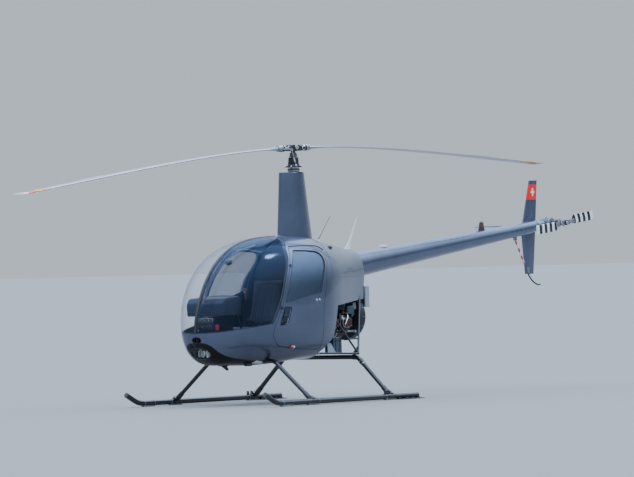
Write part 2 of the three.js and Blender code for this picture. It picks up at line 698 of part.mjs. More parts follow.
const PAD = { x0: -810, x1: -440, half: 95, t: 8 };
const SHOES = [[820, 1000], [-440, -260], [1240, 1420]];
const LUG = { x: -300, gap: 30, t: 12, high: 40 };
SIDES.forEach(([side, sign]) => {
  const y = sign * SKID.y;
  const tube = bentTube([[SKID.aft, y, SKID.z], [SKID.bend - 60, y, SKID.z],
    [SKID.bend + 60, y, SKID.z + 18], [SKID.tipX - 60, y, SKID.tipZ - 26],
    [SKID.tipX, y, SKID.tipZ]], SKID.r, 12);
  const shoes = SHOES.map(([x0, x1]) => box(x0, x1, y - 22, y + 22, 0, SKID.z - SKID.r + 10));
  const pad = box(PAD.x0, PAD.x1, y - PAD.half, y + PAD.half, 0, PAD.t);
  const lugs = [-1, 1].map((k) => box(LUG.x + k * LUG.gap - LUG.t / 2, LUG.x + k * LUG.gap + LUG.t / 2,
    y - 16, y + 16, SKID.z, SKID.z + SKID.r + LUG.high));
  add(`skid_${side}`, join(tube, ...shoes, pad, ...lugs), 'black');
});

// Seats, console and controls
const cabinSpace = bodySolid(SKIN + DOOR_GAP + 3);
const SEAT = { top: 700, near: 25, far: 430, boxHalf: 430, leverY: 446 };
const onFloor = FLOOR.z1 + SEAM;
const seatOutline = [[245, onFloor], [700, onFloor], [745, SEAT.top], [206, SEAT.top]];
const seatBox = prism(seatOutline, -SEAT.boxHalf, SEAT.boxHalf).intersect(cabinSpace);
const CUSHION = [[212, SEAT.top + SEAM], [752, SEAT.top + SEAM], [756, 770], [700, 792], [230, 786]];
const BACK = [[182, 793], [284, 793], [290, 860], [196, 1290], [100, 1290], [91, 1272]];
const levers = join(
  bentTube([[400, 0, SEAT.top - 20], [430, 0, 724], [800, 0, 880]], 11, 10),
  bentTube([[420, SEAT.boxHalf - 20, 640], [420, SEAT.leverY, 640], [790, SEAT.leverY, 850]], 11, 10),
);
add('seat_box', join(seatBox, levers), 'trim');
SIDES.forEach(([side, sign]) => {
  const cushion = sidePrism(soften(CUSHION, 26), sign, SEAT.near, SEAT.far);
  add(`seat_cushion_${side}`, cushion, 'trim');
  add(`seat_back_${side}`, sidePrism(soften(BACK, 30), sign, SEAT.near, SEAT.far), 'trim');
});

const PEDESTAL = [[1120, onFloor], [1400, onFloor], [1480, 700], [1470, 930], [1200, 930]];
const HOOD = [[1186, 925], [1480, 925], [1490, 1060], [1440, 1112], [1230, 1132], [1190, 1100]];
const consoleSpace = bodySolid(SKIN + 12);
add('instrument_console', join(prism(PEDESTAL, -125, 125), prism(HOOD, -250, 250))
  .intersect(consoleSpace), 'trim');

const STICK_TOP = [1085, 0, 1108];
const GRIPS = [[1072, 200, 1186], [1100, -200, 1036]];
add('cyclic_stick', join(
  bentTube([[802, 0, onFloor + 9], [860, 0, 690], STICK_TOP], 14, 12),
  rod([800, 0, onFloor], [800, 0, onFloor + 22], 34, 16),
  ...GRIPS.map(([x, y, z]) => join(
    rod(STICK_TOP, [x, y, z], 10, 12),
    rod([x - 12, y, z - 104], [x, y, z + 8], 17, 12),
  )),
), 'black');

const PEDAL = { x: 1180, z: 560, barY: 165, outY: 252, up: 95 };
SIDES.forEach(([side, sign]) => {
  const ys = [PEDAL.barY, PEDAL.outY].map((y) => sign * y);
  add(`pedals_${side}`, join(
    rod([PEDAL.x, ys[0], PEDAL.z - 40], [PEDAL.x, ys[1], PEDAL.z - 40], 10, 10),
    rod([PEDAL.x, ys[0], onFloor], [PEDAL.x, ys[0], PEDAL.z - 40], 10, 10),
    ...ys.map((y) => join(
      rod([PEDAL.x, y, PEDAL.z - 40], [PEDAL.x + 40, y, PEDAL.z + PEDAL.up], 9, 10),
      rod([PEDAL.x + 40, y - 36, PEDAL.z + PEDAL.up], [PEDAL.x + 40, y + 36, PEDAL.z + PEDAL.up], 14, 10),
    )),
  ), 'black');
});

// Open engine bay: tube frame, engine, belt drive, fan scroll and exhaust
const STRUT_Z = 640;
const strutFore = share(CORNER, FORE_TOP, STRUT_Z);
const strutAft = share(CORNER, AFT_TOP, STRUT_Z);
const tubeFrame = join(
  ...SIDES.map(([, sign]) => join(
    ball(flip(CORNER, sign), TUBE_R + 2.3, 10),
    ...[FORE_FOOT, FORE_TOP, AFT_TOP].map((end) => rod(flip(CORNER, sign), flip(end, sign), TUBE_R, 12)),
    rod(flip(strutFore, sign), flip(strutAft, sign), TUBE_R - 2.5, 9),
  )),
  rod(flip(strutFore, -1), strutFore, TUBE_R - 1, 14),
  rod(flip(strutAft, -1), strutAft, TUBE_R - 1, 14),
);
const BATTERY = { x0: -147, x1: -17, y0: 344, y1: 464, z0: 490, z1: 672 };
const B = BATTERY;
add('engine_frame', join(tubeFrame, box(B.x0, B.x1, B.y0, B.y1, B.z0, B.z1)), 'black');

const CRANK_Z = 830;
const ENGINE = { x0: -620, x1: -90, half: 150, z0: STRUT_Z + TUBE_R - 1 + SEAM, z1: 985 };
const CYLINDERS = [-205, -430];
const CYLINDER = { r: 78, end: 338 };
add('engine_block', join(
  box(ENGINE.x0, ENGINE.x1, -ENGINE.half, ENGINE.half, ENGINE.z0, ENGINE.z1),
  ...CYLINDERS.map((x) => rod([x, -CYLINDER.end, CRANK_Z - 20], [x, CYLINDER.end, CRANK_Z - 20],
    CYLINDER.r, 20)),
), 'alloy');

const SHEAVE = { x0: -760, x1: -700, lowR: 92, topR: 104, topZ: 1150 };
const FAN = { x0: -900, x1: -800, y: -60, z: 870, r: 255, eye: 125, wall: 12, flat: 1044 };
add('belt_drive', join(
  rod([ENGINE.x0 - SEAM, 0, CRANK_Z], [FAN.x0 + 14, 0, CRANK_Z], 20, 16),
  rod([SHEAVE.x0, 0, CRANK_Z], [SHEAVE.x1, 0, CRANK_Z], SHEAVE.lowR, 24),
  rod([SHEAVE.x0, 0, SHEAVE.topZ], [SHEAVE.x1, 0, SHEAVE.topZ], SHEAVE.topR, 24),
  box(SHEAVE.x0, SHEAVE.x1, -SHEAVE.lowR, SHEAVE.lowR, CRANK_Z, SHEAVE.topZ),
  rod([-805, 0, SHEAVE.topZ], [-640, 0, SHEAVE.topZ], 20, 16),
  rod([FAN.x0 + 18, 0, CRANK_Z], [FAN.x1 - 24, 0, CRANK_Z], 110, 24),
), 'black');

const drum = rod([FAN.x0, FAN.y, FAN.z], [FAN.x1, FAN.y, FAN.z], FAN.r, 36);
const hollow = rod([FAN.x0 + FAN.wall, FAN.y, FAN.z], [FAN.x1 - FAN.wall, FAN.y, FAN.z],
  FAN.r - FAN.wall, 36);
const flatTop = box(FAN.x0 - 1, FAN.x1 + 1, -WIDE, WIDE, 300, FAN.flat);
const scroll = join(
  drum.intersect(flatTop).subtract(hollow)
    .subtract(rod([FAN.x0 - 1, 0, CRANK_Z], [FAN.x0 + 50, 0, CRANK_Z], FAN.eye, 28))
    .subtract(rod([FAN.x1 - 50, 0, CRANK_Z], [FAN.x1 + 1, 0, CRANK_Z], 32, 16)),
  ...SIDES.map(([, sign]) => rod([FAN.x1 - 1, sign * 125, 715], [ENGINE.x0 - SEAM, sign * 125, 715],
    12, 10)),
);
add('fan_scroll', scroll, 'black');

const EXHAUST = { y: 255, z: 690, lowZ: 615, crossX: -150, r: 22, riser: 18 };
const MUFFLER = { x0: -720, x1: -530, z: 680, r: 46, outX: -650, outZ: 560 };
const E = EXHAUST;
add('exhaust', join(
  bentTube([
    [CYLINDERS[1], E.y, E.z],
    [E.crossX, E.y, E.z],
    [E.crossX, E.y, E.lowZ],
    [E.crossX, -E.y, E.lowZ],
    [E.crossX, -E.y, E.z],
    [MUFFLER.x1 - 20, -E.y, E.z],
  ], E.r, 12),
  ...SIDES.flatMap(([, sign]) => CYLINDERS.map((x) => rod([x, sign * E.y, E.z],
    [x, sign * E.y, CRANK_Z - 20 - CYLINDER.r - SEAM], E.riser, 12))),
  rod([MUFFLER.x0, -E.y, MUFFLER.z], [MUFFLER.x1, -E.y, MUFFLER.z], MUFFLER.r, 20),
  rod([MUFFLER.outX, -E.y, MUFFLER.z], [MUFFLER.outX, -E.y, MUFFLER.outZ], E.r, 12),
), 'rust');

add('rear_panel', box(-984, FAN.x0 - SEAM, -190, 190, 962, 1187), 'alloy');

// Lamps and aerials on top
add('beacon', rod([-3210, 0, 1700], [-3210, 0, 1849], 38, 18, 26).subtract(coneGrown), 'red');
const bodyGrown = bodySolid(-SEAM);
add('whip_aerial', join(
  rod([-373, 0, 1600], [-373, 0, 1684], 17, 12),
  rod([-373, 0, 1676], [-583, 0, 1937], 4, 8),
).subtract(bodyGrown), 'black');
add('white_aerial', rod([-830, 0, 1533], [-1037, 0, 1922], 17, 12, 5).subtract(bodyGrown)
  .subtract(coneGrown), 'white');

const box3 = new THREE.Box3().setFromObject(helicopter);
helicopter.position.x = -(box3.min.x + box3.max.x) / 2;
export default helicopter;
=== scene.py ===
"""A light two-seat helicopter on skids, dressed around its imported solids."""

import json
import math

import bpy
from mathutils import Matrix, Vector


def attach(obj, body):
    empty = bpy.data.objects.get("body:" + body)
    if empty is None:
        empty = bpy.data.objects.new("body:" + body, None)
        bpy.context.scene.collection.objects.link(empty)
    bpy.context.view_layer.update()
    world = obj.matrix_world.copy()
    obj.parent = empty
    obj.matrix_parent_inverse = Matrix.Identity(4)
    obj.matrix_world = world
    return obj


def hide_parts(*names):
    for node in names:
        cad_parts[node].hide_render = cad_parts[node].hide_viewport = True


bl_info = {
    "name": "Light Helicopter",
    "version": (1, 0, 0),
    "blender": (4, 5, 0),
    "location": "View3D > Sidebar > Helicopter",
    "description": "Builds the looks of a light two-seat helicopter around its solids",
    "category": "Add Mesh",
}

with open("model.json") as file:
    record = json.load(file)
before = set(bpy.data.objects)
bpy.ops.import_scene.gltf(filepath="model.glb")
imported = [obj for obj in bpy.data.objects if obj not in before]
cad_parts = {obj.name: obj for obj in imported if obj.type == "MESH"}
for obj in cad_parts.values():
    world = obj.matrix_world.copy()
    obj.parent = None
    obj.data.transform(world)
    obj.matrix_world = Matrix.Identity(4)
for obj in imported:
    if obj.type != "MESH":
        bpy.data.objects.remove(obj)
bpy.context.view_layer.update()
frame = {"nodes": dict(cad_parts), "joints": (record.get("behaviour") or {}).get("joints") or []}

# Tables are in millimetres from the rotor mast at ground level: +X nose, +Y left, +Z up
SHIFT = frame["joints"][0]["pos_m"][0]
SIDES = (("left", 1), ("right", -1))
FAR = 1900
WIDE = 900


def at(x, y, z):
    """A point of the tables in metres in the frame."""
    return Vector((x / 1000 + SHIFT, y / 1000, z / 1000))


def in_tables(place):
    """A point of the frame in the tables' millimetres."""
    return (place.x - SHIFT) * 1000, place.y * 1000, place.z * 1000


# Modelling by hand


def pick(*objects):
    """Selects only these objects, and makes the first one active."""
    bpy.ops.object.select_all(action="DESELECT")
    for one in objects:
        one.select_set(True)
    bpy.context.view_layer.objects.active = objects[0]


def settle():
    """Puts the place of the new object into its mesh."""
    made = bpy.context.object
    pick(made)
    bpy.ops.object.transform_apply(location=True, rotation=True, scale=True)
    return made


def modify(piece, kind, **settings):
    """Adds a modifier with these settings and applies it."""
    pick(piece)
    step = piece.modifiers.new(kind, kind)
    for key, value in settings.items():
        setattr(step, key, value)
    bpy.ops.object.modifier_apply(modifier=step.name)
    return piece


def soften_edges(piece, width=3, segments=2, angle=40):
    """Rounds every edge sharper than angle, by a width in millimetres."""
    return modify(
        piece, "BEVEL", width=width / 1000, segments=segments,
        limit_method="ANGLE", angle_limit=math.radians(angle),
    )


def join(*pieces):
    """Makes one piece of several."""
    pick(*pieces)
    if len(pieces) > 1:
        bpy.ops.object.join()
    return pieces[0]


def twin(piece):
    """A copy of a piece with its own mesh."""
    copy = piece.copy()
    copy.data = piece.data.copy()
    bpy.context.scene.collection.objects.link(copy)
    return copy


def moved(x, y, z):
    """A move in millimetres."""
    return Matrix.Translation(Vector((x, y, z)) / 1000)


def about(p, axis, angle):
    """A turn about a line through p, along X, Y or Z."""
    return Matrix.Translation(at(*p)) @ Matrix.Rotation(angle, 4, axis) @ Matrix.Translation(-at(*p))


def discard(*pieces):
    """Removes the forms that only helped to make others."""
    for one in pieces:
        bpy.data.objects.remove(one)


def repeat(piece, moves):
    """One piece made of copies of this one, each carried to its place by its own matrix."""
    copies = [twin(piece) for _ in moves]
    for copy, move in zip(copies, moves):
        copy.data.transform(move)
    bpy.data.objects.remove(piece)
    return join(*copies)


def other_side(piece):
    """A copy of a left piece for the right side."""
    copy = twin(piece)
    copy.data.transform(Matrix.Scale(-1, 4, (0, 1, 0)))
    outward(copy)
    return copy


def outward(piece):
    """Turns every face of a closed piece outwards."""
    pick(piece)
    bpy.ops.object.mode_set(mode="EDIT")
    bpy.ops.mesh.select_all(action="SELECT")
    bpy.ops.mesh.remove_doubles(threshold=1e-5)
    bpy.ops.mesh.normals_make_consistent(inside=False)
    bpy.ops.object.mode_set(mode="OBJECT")
    return piece


def close_up(piece):
    """Sews a wrapped grid's edges together, and closes its two ends."""
    pick(piece)
    bpy.ops.object.mode_set(mode="EDIT")
    bpy.ops.mesh.select_all(action="SELECT")
    bpy.ops.mesh.remove_doubles(threshold=1e-5)
    bpy.ops.mesh.select_all(action="DESELECT")
    bpy.ops.mesh.select_non_manifold()
    bpy.ops.mesh.fill_holes(sides=0)
    bpy.ops.mesh.select_all(action="SELECT")
    bpy.ops.mesh.normals_make_consistent(inside=False)
    bpy.ops.object.mode_set(mode="OBJECT")
    return piece


def skinned(rings):
    """A closed solid through rings of points in the frame's metres."""
    along, around = len(rings) - 1, len(rings[0])
    bpy.ops.mesh.primitive_grid_add(x_subdivisions=along, y_subdivisions=around, size=1)
    made = settle()
    for vertex in made.data.vertices:
        i, j = round((vertex.co.x + 0.5) * along), round((vertex.co.y + 0.5) * around)
        vertex.co = rings[i][j % around]
    return close_up(made)


def rod(a, b, radius, end=None, sides=24, soft=0):
    """A straight round bar from a to b, with a second radius for a taper."""
    a, b = at(*a), at(*b)
    end = radius if end is None else end
    bpy.ops.mesh.primitive_cone_add(
        vertices=sides, radius1=radius / 1000, radius2=end / 1000, depth=(b - a).length,
        location=(a + b) / 2, rotation=(b - a).to_track_quat("Z", "Y").to_euler(),
    )
    made = settle()
    return soften_edges(made, soft, 2, 50) if soft else made


def ball(p, radius, sides=20, stretch=(1, 1, 1)):
    """A rounded boss."""
    bpy.ops.mesh.primitive_uv_sphere_add(
        segments=sides, ring_count=sides // 2, radius=radius / 1000, location=at(*p), scale=stretch
    )
    return settle()


def hoop(p, axis, radius, thick, sides=28, thin=8):
    """A round ring whose middle line has the radius."""
    bpy.ops.mesh.primitive_torus_add(
        location=at(*p), rotation=Vector(axis).to_track_quat("Z", "Y").to_euler(),
        major_radius=radius / 1000, minor_radius=thick / 1000,
        major_segments=sides, minor_segments=thin,
    )
    return settle()


def block(x0, x1, y0, y1, z0, z1, soft=3, segments=2):
    """A block between its two corners, with softened edges."""
    low, high = at(x0, y0, z0), at(x1, y1, z1)
    bpy.ops.mesh.primitive_cube_add(size=1, location=(low + high) / 2, scale=high - low)
    made = settle()
    return soften_edges(made, soft, segments) if soft else made


def slab(points, push, soft=0):
    """A plate: a flat outline in the frame's metres, pushed along a vector."""
    bpy.ops.mesh.primitive_circle_add(vertices=len(points), fill_type="NGON")
    made = settle()
    for vertex, p in zip(made.data.vertices, points):
        vertex.co = p
    bpy.ops.object.mode_set(mode="EDIT")
    bpy.ops.mesh.select_all(action="SELECT")
    bpy.ops.mesh.extrude_region_move(TRANSFORM_OT_translate={"value": push})
    bpy.ops.object.mode_set(mode="OBJECT")
    outward(made)
    return soften_edges(made, soft) if soft else made


def side_slab(outline, y0, y1, soft=0):
    """A plate from a side-view outline of [x, z], between two y."""
    return slab([at(x, y0, z) for x, z in outline], (0, (y1 - y0) / 1000, 0), soft)


def bend(before, corner, after, reach, steps):
    """The points that round a corner between its two neighbours."""
    a, b, c = Vector(before), Vector(corner), Vector(after)
    start = b + (a - b) * min(0.45, reach / (a - b).length)
    end = b + (c - b) * min(0.45, reach / (c - b).length)
    shares = [k / steps for k in range(steps + 1)]
    return [start * (1 - t) ** 2 + b * 2 * t * (1 - t) + end * t * t for t in shares]


def rounded(points, reach, steps=6):
    """A path with its inner corners rounded."""
    path = [Vector(points[0])]
    for corner in zip(points, points[1:], points[2:]):
        path += bend(*corner, reach, steps)
    return path + [Vector(points[-1])]


def tube(points, radius, reach=60, sides=3, steps=6):
    """A bent tube through points, with rounded bends."""
    path = rounded(points, reach, steps)
    bpy.ops.curve.primitive_nurbs_path_add()
    made = settle()
    line = made.data.splines[0]
    line.type = "POLY"
    line.points.add(len(path) - len(line.points))
    for point, p in zip(line.points, path):
        point.co = (*at(*p), 1)
    made.data.bevel_depth = radius / 1000
    made.data.bevel_resolution = sides
    made.data.use_fill_caps = True
    pick(made)
    bpy.ops.object.convert(target="MESH")
    return outward(bpy.context.object)


def carve(piece, cutter, way="DIFFERENCE", keep=False):
    """Cuts a piece with another one, or keeps only what they share."""
    modify(piece, "BOOLEAN", object=cutter, operation=way, solver="MANIFOLD")
    if not keep:
        bpy.data.objects.remove(cutter)
    return piece


def studs(places, radius=3, high=1.5, sides=6):
    """Rivet or screw heads at places, each a point and the direction that it faces."""
    bpy.ops.mesh.primitive_cone_add(
        vertices=sides, radius1=radius / 1000, radius2=radius / 1600, depth=2 * high / 1000
    )
    made = settle()
    points = [v.co.copy() for v in made.data.vertices]
    faces = [list(p.vertices) for p in made.data.polygons]
    all_points, all_faces = [], []
    for p, facing in places:
        turn = Vector(facing).to_track_quat("Z", "Y").to_matrix()
        first = len(all_points)
        all_points += [turn @ q + Vector(p) for q in points]
        all_faces += [[first + i for i in face] for face in faces]
    made.data.clear_geometry()
    made.data.from_pydata(all_points, [], all_faces)
    return made


def ready(piece, name, slot, *nodes, finish=None, body="airframe", angle=35):
    """Names a finished piece, or a list of its parts, and lets it ride on its body in place of solids."""
    piece = join(*piece) if isinstance(piece, list) else piece
    piece.name = name
    if finish:
        dress(piece, finish)
    pick(piece)
    bpy.ops.object.shade_smooth_by_angle(angle=math.radians(angle))
    modify(piece, "WEIGHTED_NORMAL", keep_sharp=True, weight=100, thresh=0.01)
    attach(piece, body)
    if nodes:
        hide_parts(*nodes)
    return piece


def dress(piece, finish):
    """Gives a part of a piece its own finish before it is joined."""
    piece.data.materials.clear()
    piece.data.materials.append(FINISHES[finish])
    return piece


def dressed(finish, *pieces):
    """Parts of one piece that share a finish."""
    return [dress(one, finish) for one in pieces]


FINISHES = {}
PAINT_METAL, PAINT_COAT = 0.75, 0.6


# Finishes


class Wire:
    """One socket of a finish, which takes plain arithmetic."""

    def __init__(self, finish, socket):
        self.finish, self.socket = finish, socket

    def __add__(self, other):
        return self.finish.maths("ADD", self, other)

    def __sub__(self, other):
        return self.finish.maths("SUBTRACT", self, other)

    def __mul__(self, other):
        return self.finish.maths("MULTIPLY", self, other)

    def __truediv__(self, other):
        return self.finish.maths("DIVIDE", self, other)

    def __rsub__(self, other):
        return self.finish.maths("SUBTRACT", other, self)

    __radd__, __rmul__ = __add__, __mul__


class Nodes:
    """A node tree that one method adds to."""

    def __init__(self, tree):
        self.tree = tree

    def node(self, kind, settings=None, inputs=None, out=0):
        """Adds a node with its settings, then the values or links of its sockets."""
        made = self.tree.nodes.new("ShaderNode" + kind)
        for key, value in (settings or {}).items():
            setattr(made, key, value)
        for key, value in (inputs or {}).items():
            self.feed(made.inputs[key], value)
        return Wire(self, made.outputs[out])

    def maths(self, operation, *values):
        """A sum of one or two values."""
        return self.node("Math", {"operation": operation}, dict(enumerate(values)))

    def feed(self, socket, value):
        if isinstance(value, Wire):
            self.tree.links.new(value.socket, socket)
        else:
            socket.default_value = value

    def blend(self, share, a, b):
        """From colour a to colour b by a share."""
        return self.node("Mix", {"data_type": "RGBA"}, {0: share, 6: a, 7: b}, out=2)

    def step(self, value, low, high):
        """A smooth share from 0 at low to 1 at high."""
        return self.node("MapRange", {"interpolation_type": "SMOOTHSTEP"},
                         {"Value": value, "From Min": low, "From Max": high})


class Finish(Nodes):
    """A procedural finish on the piece's own Object coordinates."""

    def __init__(self, name, colour, rough, metal=0.0, coat=0.0, clear=None):
        self.material = bpy.data.materials.new(name)
        self.material.use_nodes = True
        super().__init__(self.material.node_tree)
        self.shader = self.tree.nodes["Principled BSDF"]
        self.colour, self.rough = (*colour, 1), rough
        self.set("Base Color", self.colour)
        self.set("Roughness", rough)
        self.set("Metallic", metal)
        self.set("Coat Weight", coat)
        self.set("Coat Roughness", 0.06)
        if clear is not None:
            self.set("Alpha", clear)
        self.place = self.node("TexCoord", out="Object")
        apart = {"Vector": self.place}
        self.x, self.y, self.z = (self.node("SeparateXYZ", {}, apart, out=k) for k in "XYZ")
        FINISHES[name] = self.material

    def set(self, name, value):
        self.feed(self.shader.inputs[name], value)

    def noise(self, scale, detail=3, rough=0.55):
        sizes = {"Vector": self.place, "Scale": scale, "Detail": detail, "Roughness": rough}
        return self.node("TexNoise", {}, sizes)

    def band(self, value, low, high, edge=0.0015):
        """1 between low and high, with a crisp edge."""
        return self.step(value, low - edge, low + edge) - self.step(value, high - edge, high + edge)

    def height(self, value, depth):
        """Relief of a depth in millimetres."""
        sizes = {"Height": value, "Strength": 1.0, "Distance": depth / 1000}
        self.set("Normal", self.node("Bump", {}, sizes))

    def worn(self, grain=60, spread=0.2, relief=0.15, patchy=5.0):
        """Cloudy colour, uneven gloss and a fine grain, which most finishes share."""
        cloud = self.noise(patchy, 4)
        fine = self.noise(grain, 3)
        dark = tuple(c * (1 - spread) for c in self.colour[:3]) + (1,)
        light = tuple(min(1, c * (1 + spread)) for c in self.colour[:3]) + (1,)
        tone = self.blend(self.step(cloud * 0.7 + fine * 0.3, 0.3, 0.7), dark, light)
        self.set("Base Color", tone)
        self.set("Roughness", (cloud - 0.5) * (self.rough * 0.5) + fine * 0.06 + self.rough - 0.03)
        if relief:
            self.height(fine, relief)
        return tone


def painted(name):
    """Metallic grey paint: fine flake, a little orange peel, and a darker, greyer, rougher lower body that is
    partly dust and partly painted shade.
    """
    colours = bpy.context.scene.helicopter_colours
    f = Finish(name, colours.paint, 0.3, PAINT_METAL, PAINT_COAT)
    flake = f.noise(1400, 1)
    cloud = f.noise(2.2, 4)
    low, high = tuple(c * 0.88 for c in f.colour[:3]), tuple(c * 1.14 for c in f.colour[:3])
    tone = f.blend(f.step(cloud * 0.75 + flake * 0.25, 0.35, 0.65), (*low, 1), (*high, 1))
    # Darker and greyer towards the bottom: partly dust, partly painted shade of the lower body
    dust_and_shade = f.step(f.z, 0.95, 0.42) * (cloud * 0.5 + 0.35)
    tone = f.blend(dust_and_shade * 0.45, tone, (0.085, 0.078, 0.078, 1))
    f.set("Base Color", tone)
    f.set("Roughness", dust_and_shade * 0.2 + cloud * 0.08 + 0.26)
    f.height(f.noise(160, 2) * 0.35 + flake * 0.1, 0.1)
    return f, tone, cloud


def make_finishes():
    """Builds every finish of the machine once."""
    colours = bpy.context.scene.helicopter_colours
    painted("body paint")
    belly_paint()
    fin_paint()
    blade_skin()
    tail_blade_skin()
    banded_rod()
    glass("windshield glass", (0.20, 0.32, 0.56), 0.024, 0.5, 0.1)
    glass("door glass", (0.16, 0.23, 0.34), 0.42, 0.9, 0.06)
    glass("low window glass", (0.12, 0.16, 0.22), 0.10, 0.6, 0.06)
    glass("lamp glass", (0.30, 0.34, 0.38), 0.06, 0.5, 0.04)
    cloth("seat cloth", colours.cloth, 320)
    cloth("cabin carpet", (0.012, 0.017, 0.028), 160)
    Finish("gloss black", (0.006, 0.006, 0.007), 0.24, 0.0, 0.25).worn(90, 0.3, 0.08)
    Finish("satin black", (0.02, 0.02, 0.022), 0.48).worn(120, 0.3, 0.15)
    Finish("rubber", (0.017, 0.017, 0.018), 0.72).worn(260, 0.25, 0.25)
    Finish("bright steel", (0.62, 0.63, 0.65), 0.24, 1.0).worn(140, 0.14, 0.05)
    Finish("dull steel", (0.30, 0.31, 0.33), 0.42, 0.9).worn(90, 0.25, 0.12)
    Finish("dark steel", (0.055, 0.057, 0.062), 0.4, 0.7).worn(90, 0.35, 0.15)
    Finish("bare sheet", (0.46, 0.48, 0.51), 0.42, 0.85).worn(40, 0.12, 0.05, 3.0)
    Finish("cast alloy", (0.20, 0.215, 0.24), 0.5, 0.7).worn(420, 0.25, 0.5)
    Finish("engine grey", (0.03, 0.033, 0.038), 0.5, 0.4).worn(300, 0.35, 0.35)
    Finish("battery box", (0.03, 0.048, 0.075), 0.4, 0.2, 0.2).worn(60, 0.2, 0.1)
    Finish("cover red brown", (0.035, 0.009, 0.008), 0.4, 0.2).worn(200, 0.35, 0.2)
    Finish("baffle cream", (0.62, 0.56, 0.45), 0.55).worn(80, 0.16, 0.1)
    Finish("plate blue grey", (0.30, 0.36, 0.42), 0.5, 0.3).worn(60, 0.15, 0.1)
    Finish("frame paint", (0.010, 0.013, 0.022), 0.34, 0.0, 0.15).worn(70, 0.2, 0.08)
    Finish("bare grey", (0.33, 0.36, 0.40), 0.42, 0.35).worn(50, 0.12, 0.08, 2.0)
    Finish("heat browned", (0.055, 0.03, 0.024), 0.5, 0.7).worn(30, 0.45, 0.2, 9.0)
    for name, colour, rough in (
        ("moulded trim", (0.006, 0.009, 0.016), 0.5), ("dark lining", (0.007, 0.011, 0.021), 0.6)
    ):
        matt = Finish(name, colour, rough)
        matt.set("Specular IOR Level", 0.22)
        matt.worn(400, 0.25, 0.3)
    Finish("dial black", (0.008, 0.008, 0.009), 0.3, 0.0, 0.4).worn(80, 0.2, 0.05)
    Finish("dial white", (0.75, 0.75, 0.72), 0.5).worn(80, 0.08, 0.03)
    Finish("grip red", (0.36, 0.02, 0.02), 0.4).worn(120, 0.15, 0.1)
    Finish("lens red", (0.4, 0.008, 0.006), 0.12, 0.0, 0.8).worn(60, 0.15, 0.05)
    Finish("lens green", (0.01, 0.22, 0.07), 0.12, 0.0, 0.8).worn(60, 0.15, 0.05)
    Finish("beacon lens", (0.06, 0.006, 0.006), 0.14, 0.0, 0.8).worn(60, 0.2, 0.05)
    Finish("aerial white", (0.8, 0.8, 0.78), 0.35, 0.0, 0.3).worn(60, 0.06, 0.05)
    Finish("hose brown", (0.20, 0.12, 0.05), 0.55).worn(200, 0.2, 0.3)
    Finish("lamp mirror", (0.85, 0.85, 0.86), 0.08, 1.0).worn(30, 0.06, 0.1)
    Finish("lamp face", (0.36, 0.38, 0.41), 0.15, 0.1, 0.6).worn(700, 0.12, 0.6)
    firewall_sheet()


def belly_paint():
    """Body paint above, and black under an edge that sweeps up to the landing lamps."""
    f, tone, cloud = painted("belly paint")
    ahead = (f.x - (SHIFT + 1.121)) / 0.485
    rise = f.maths("MAXIMUM", ahead, 0.0)
    aft = f.maths("MINIMUM", ahead, 0.0)
    sweep = f.maths("POWER", rise, 5.0)
    edge = rise * 0.06 + sweep * 0.12 + aft * 0.025 + 0.464
    black = f.step(f.z - edge, 0.004, -0.004)
    f.set("Base Color", f.blend(black, tone, (0.003, 0.003, 0.0035, 1)))
    f.set("Metallic", PAINT_METAL - black * PAINT_METAL)
    f.set("Specular IOR Level", 0.22)
    f.set("Coat Weight", PAINT_COAT - black * PAINT_COAT)
    f.set("Roughness", cloud * 0.12 + 0.26)


def fin_paint():
    """Body paint with a plain red patch and an upright white cross on the upper fin."""
    f, tone, _ = painted("fin paint")
    across = f.x - (SHIFT - 4.262)
    up = f.z - 2.173
    patch = f.band(f.z, 2.089, 2.257)
    cross = f.maths(
        "MAXIMUM",
        f.band(up, -0.044, 0.044) * f.band(across, -0.012, 0.012),
        f.band(up, -0.012, 0.012) * f.band(across, -0.034, 0.034),
    )
    tone = f.blend(patch, tone, (0.80, 0.010, 0.005, 1))
    f.set("Base Color", f.blend(cross, tone, (0.82, 0.82, 0.8, 1)))
    f.set("Metallic", PAINT_METAL - patch * PAINT_METAL)


def blade_skin():
    """Silver blade paint, with yellow, red and white bands at the tip."""
    f = Finish("blade skin", (0.42, 0.43, 0.44), 0.36, 0.45, 0.2)
    tone = f.worn(45, 0.1, 0.04, 1.2)
    dx = f.x - SHIFT
    reach = f.maths("SQRT", dx * dx + f.y * f.y)
    tone = f.blend(f.step(reach, 3.533, 3.536), tone, (0.78, 0.33, 0.02, 1))
    tone = f.blend(f.step(reach, 3.673, 3.676), tone, (0.72, 0.085, 0.012, 1))
    tone = f.blend(f.step(reach, 3.778, 3.781), tone, (0.82, 0.82, 0.8, 1))
    f.set("Base Color", tone)
    f.set("Metallic", 0.45 - f.step(reach, 3.533, 3.536) * 0.45)


def tail_blade_skin():
    """Black tail blades with four white bands each."""
    f = Finish("tail blade skin", (0.008, 0.008, 0.009), 0.36, 0.0, 0.1)
    tone = f.worn(60, 0.25, 0.05)
    dx, dz = f.x - (SHIFT - 4.39), f.z - 1.82
    reach = f.maths("SQRT", dx * dx + dz * dz)
    white = f.band(reach, 0.205, 0.247) + f.band(reach, 0.297, 0.339) + f.band(reach, 0.389, 0.432)
    white = white + f.band(reach, 0.484, 0.6)
    f.set("Base Color", f.blend(white, tone, (0.8, 0.8, 0.78, 1)))


def banded_rod():
    """Red and white bands along the rod that guards the tail."""
    f = Finish("banded rod", (0.62, 0.03, 0.015), 0.35, 0.0, 0.3)
    tone = f.worn(60, 0.1, 0.03)
    along = (SHIFT - 3.845 - f.x) / 0.0767
    odd = f.step(f.maths("FRACT", along), 0.49, 0.51)
    f.set("Base Color", f.blend(odd, tone, (0.82, 0.82, 0.8, 1)))


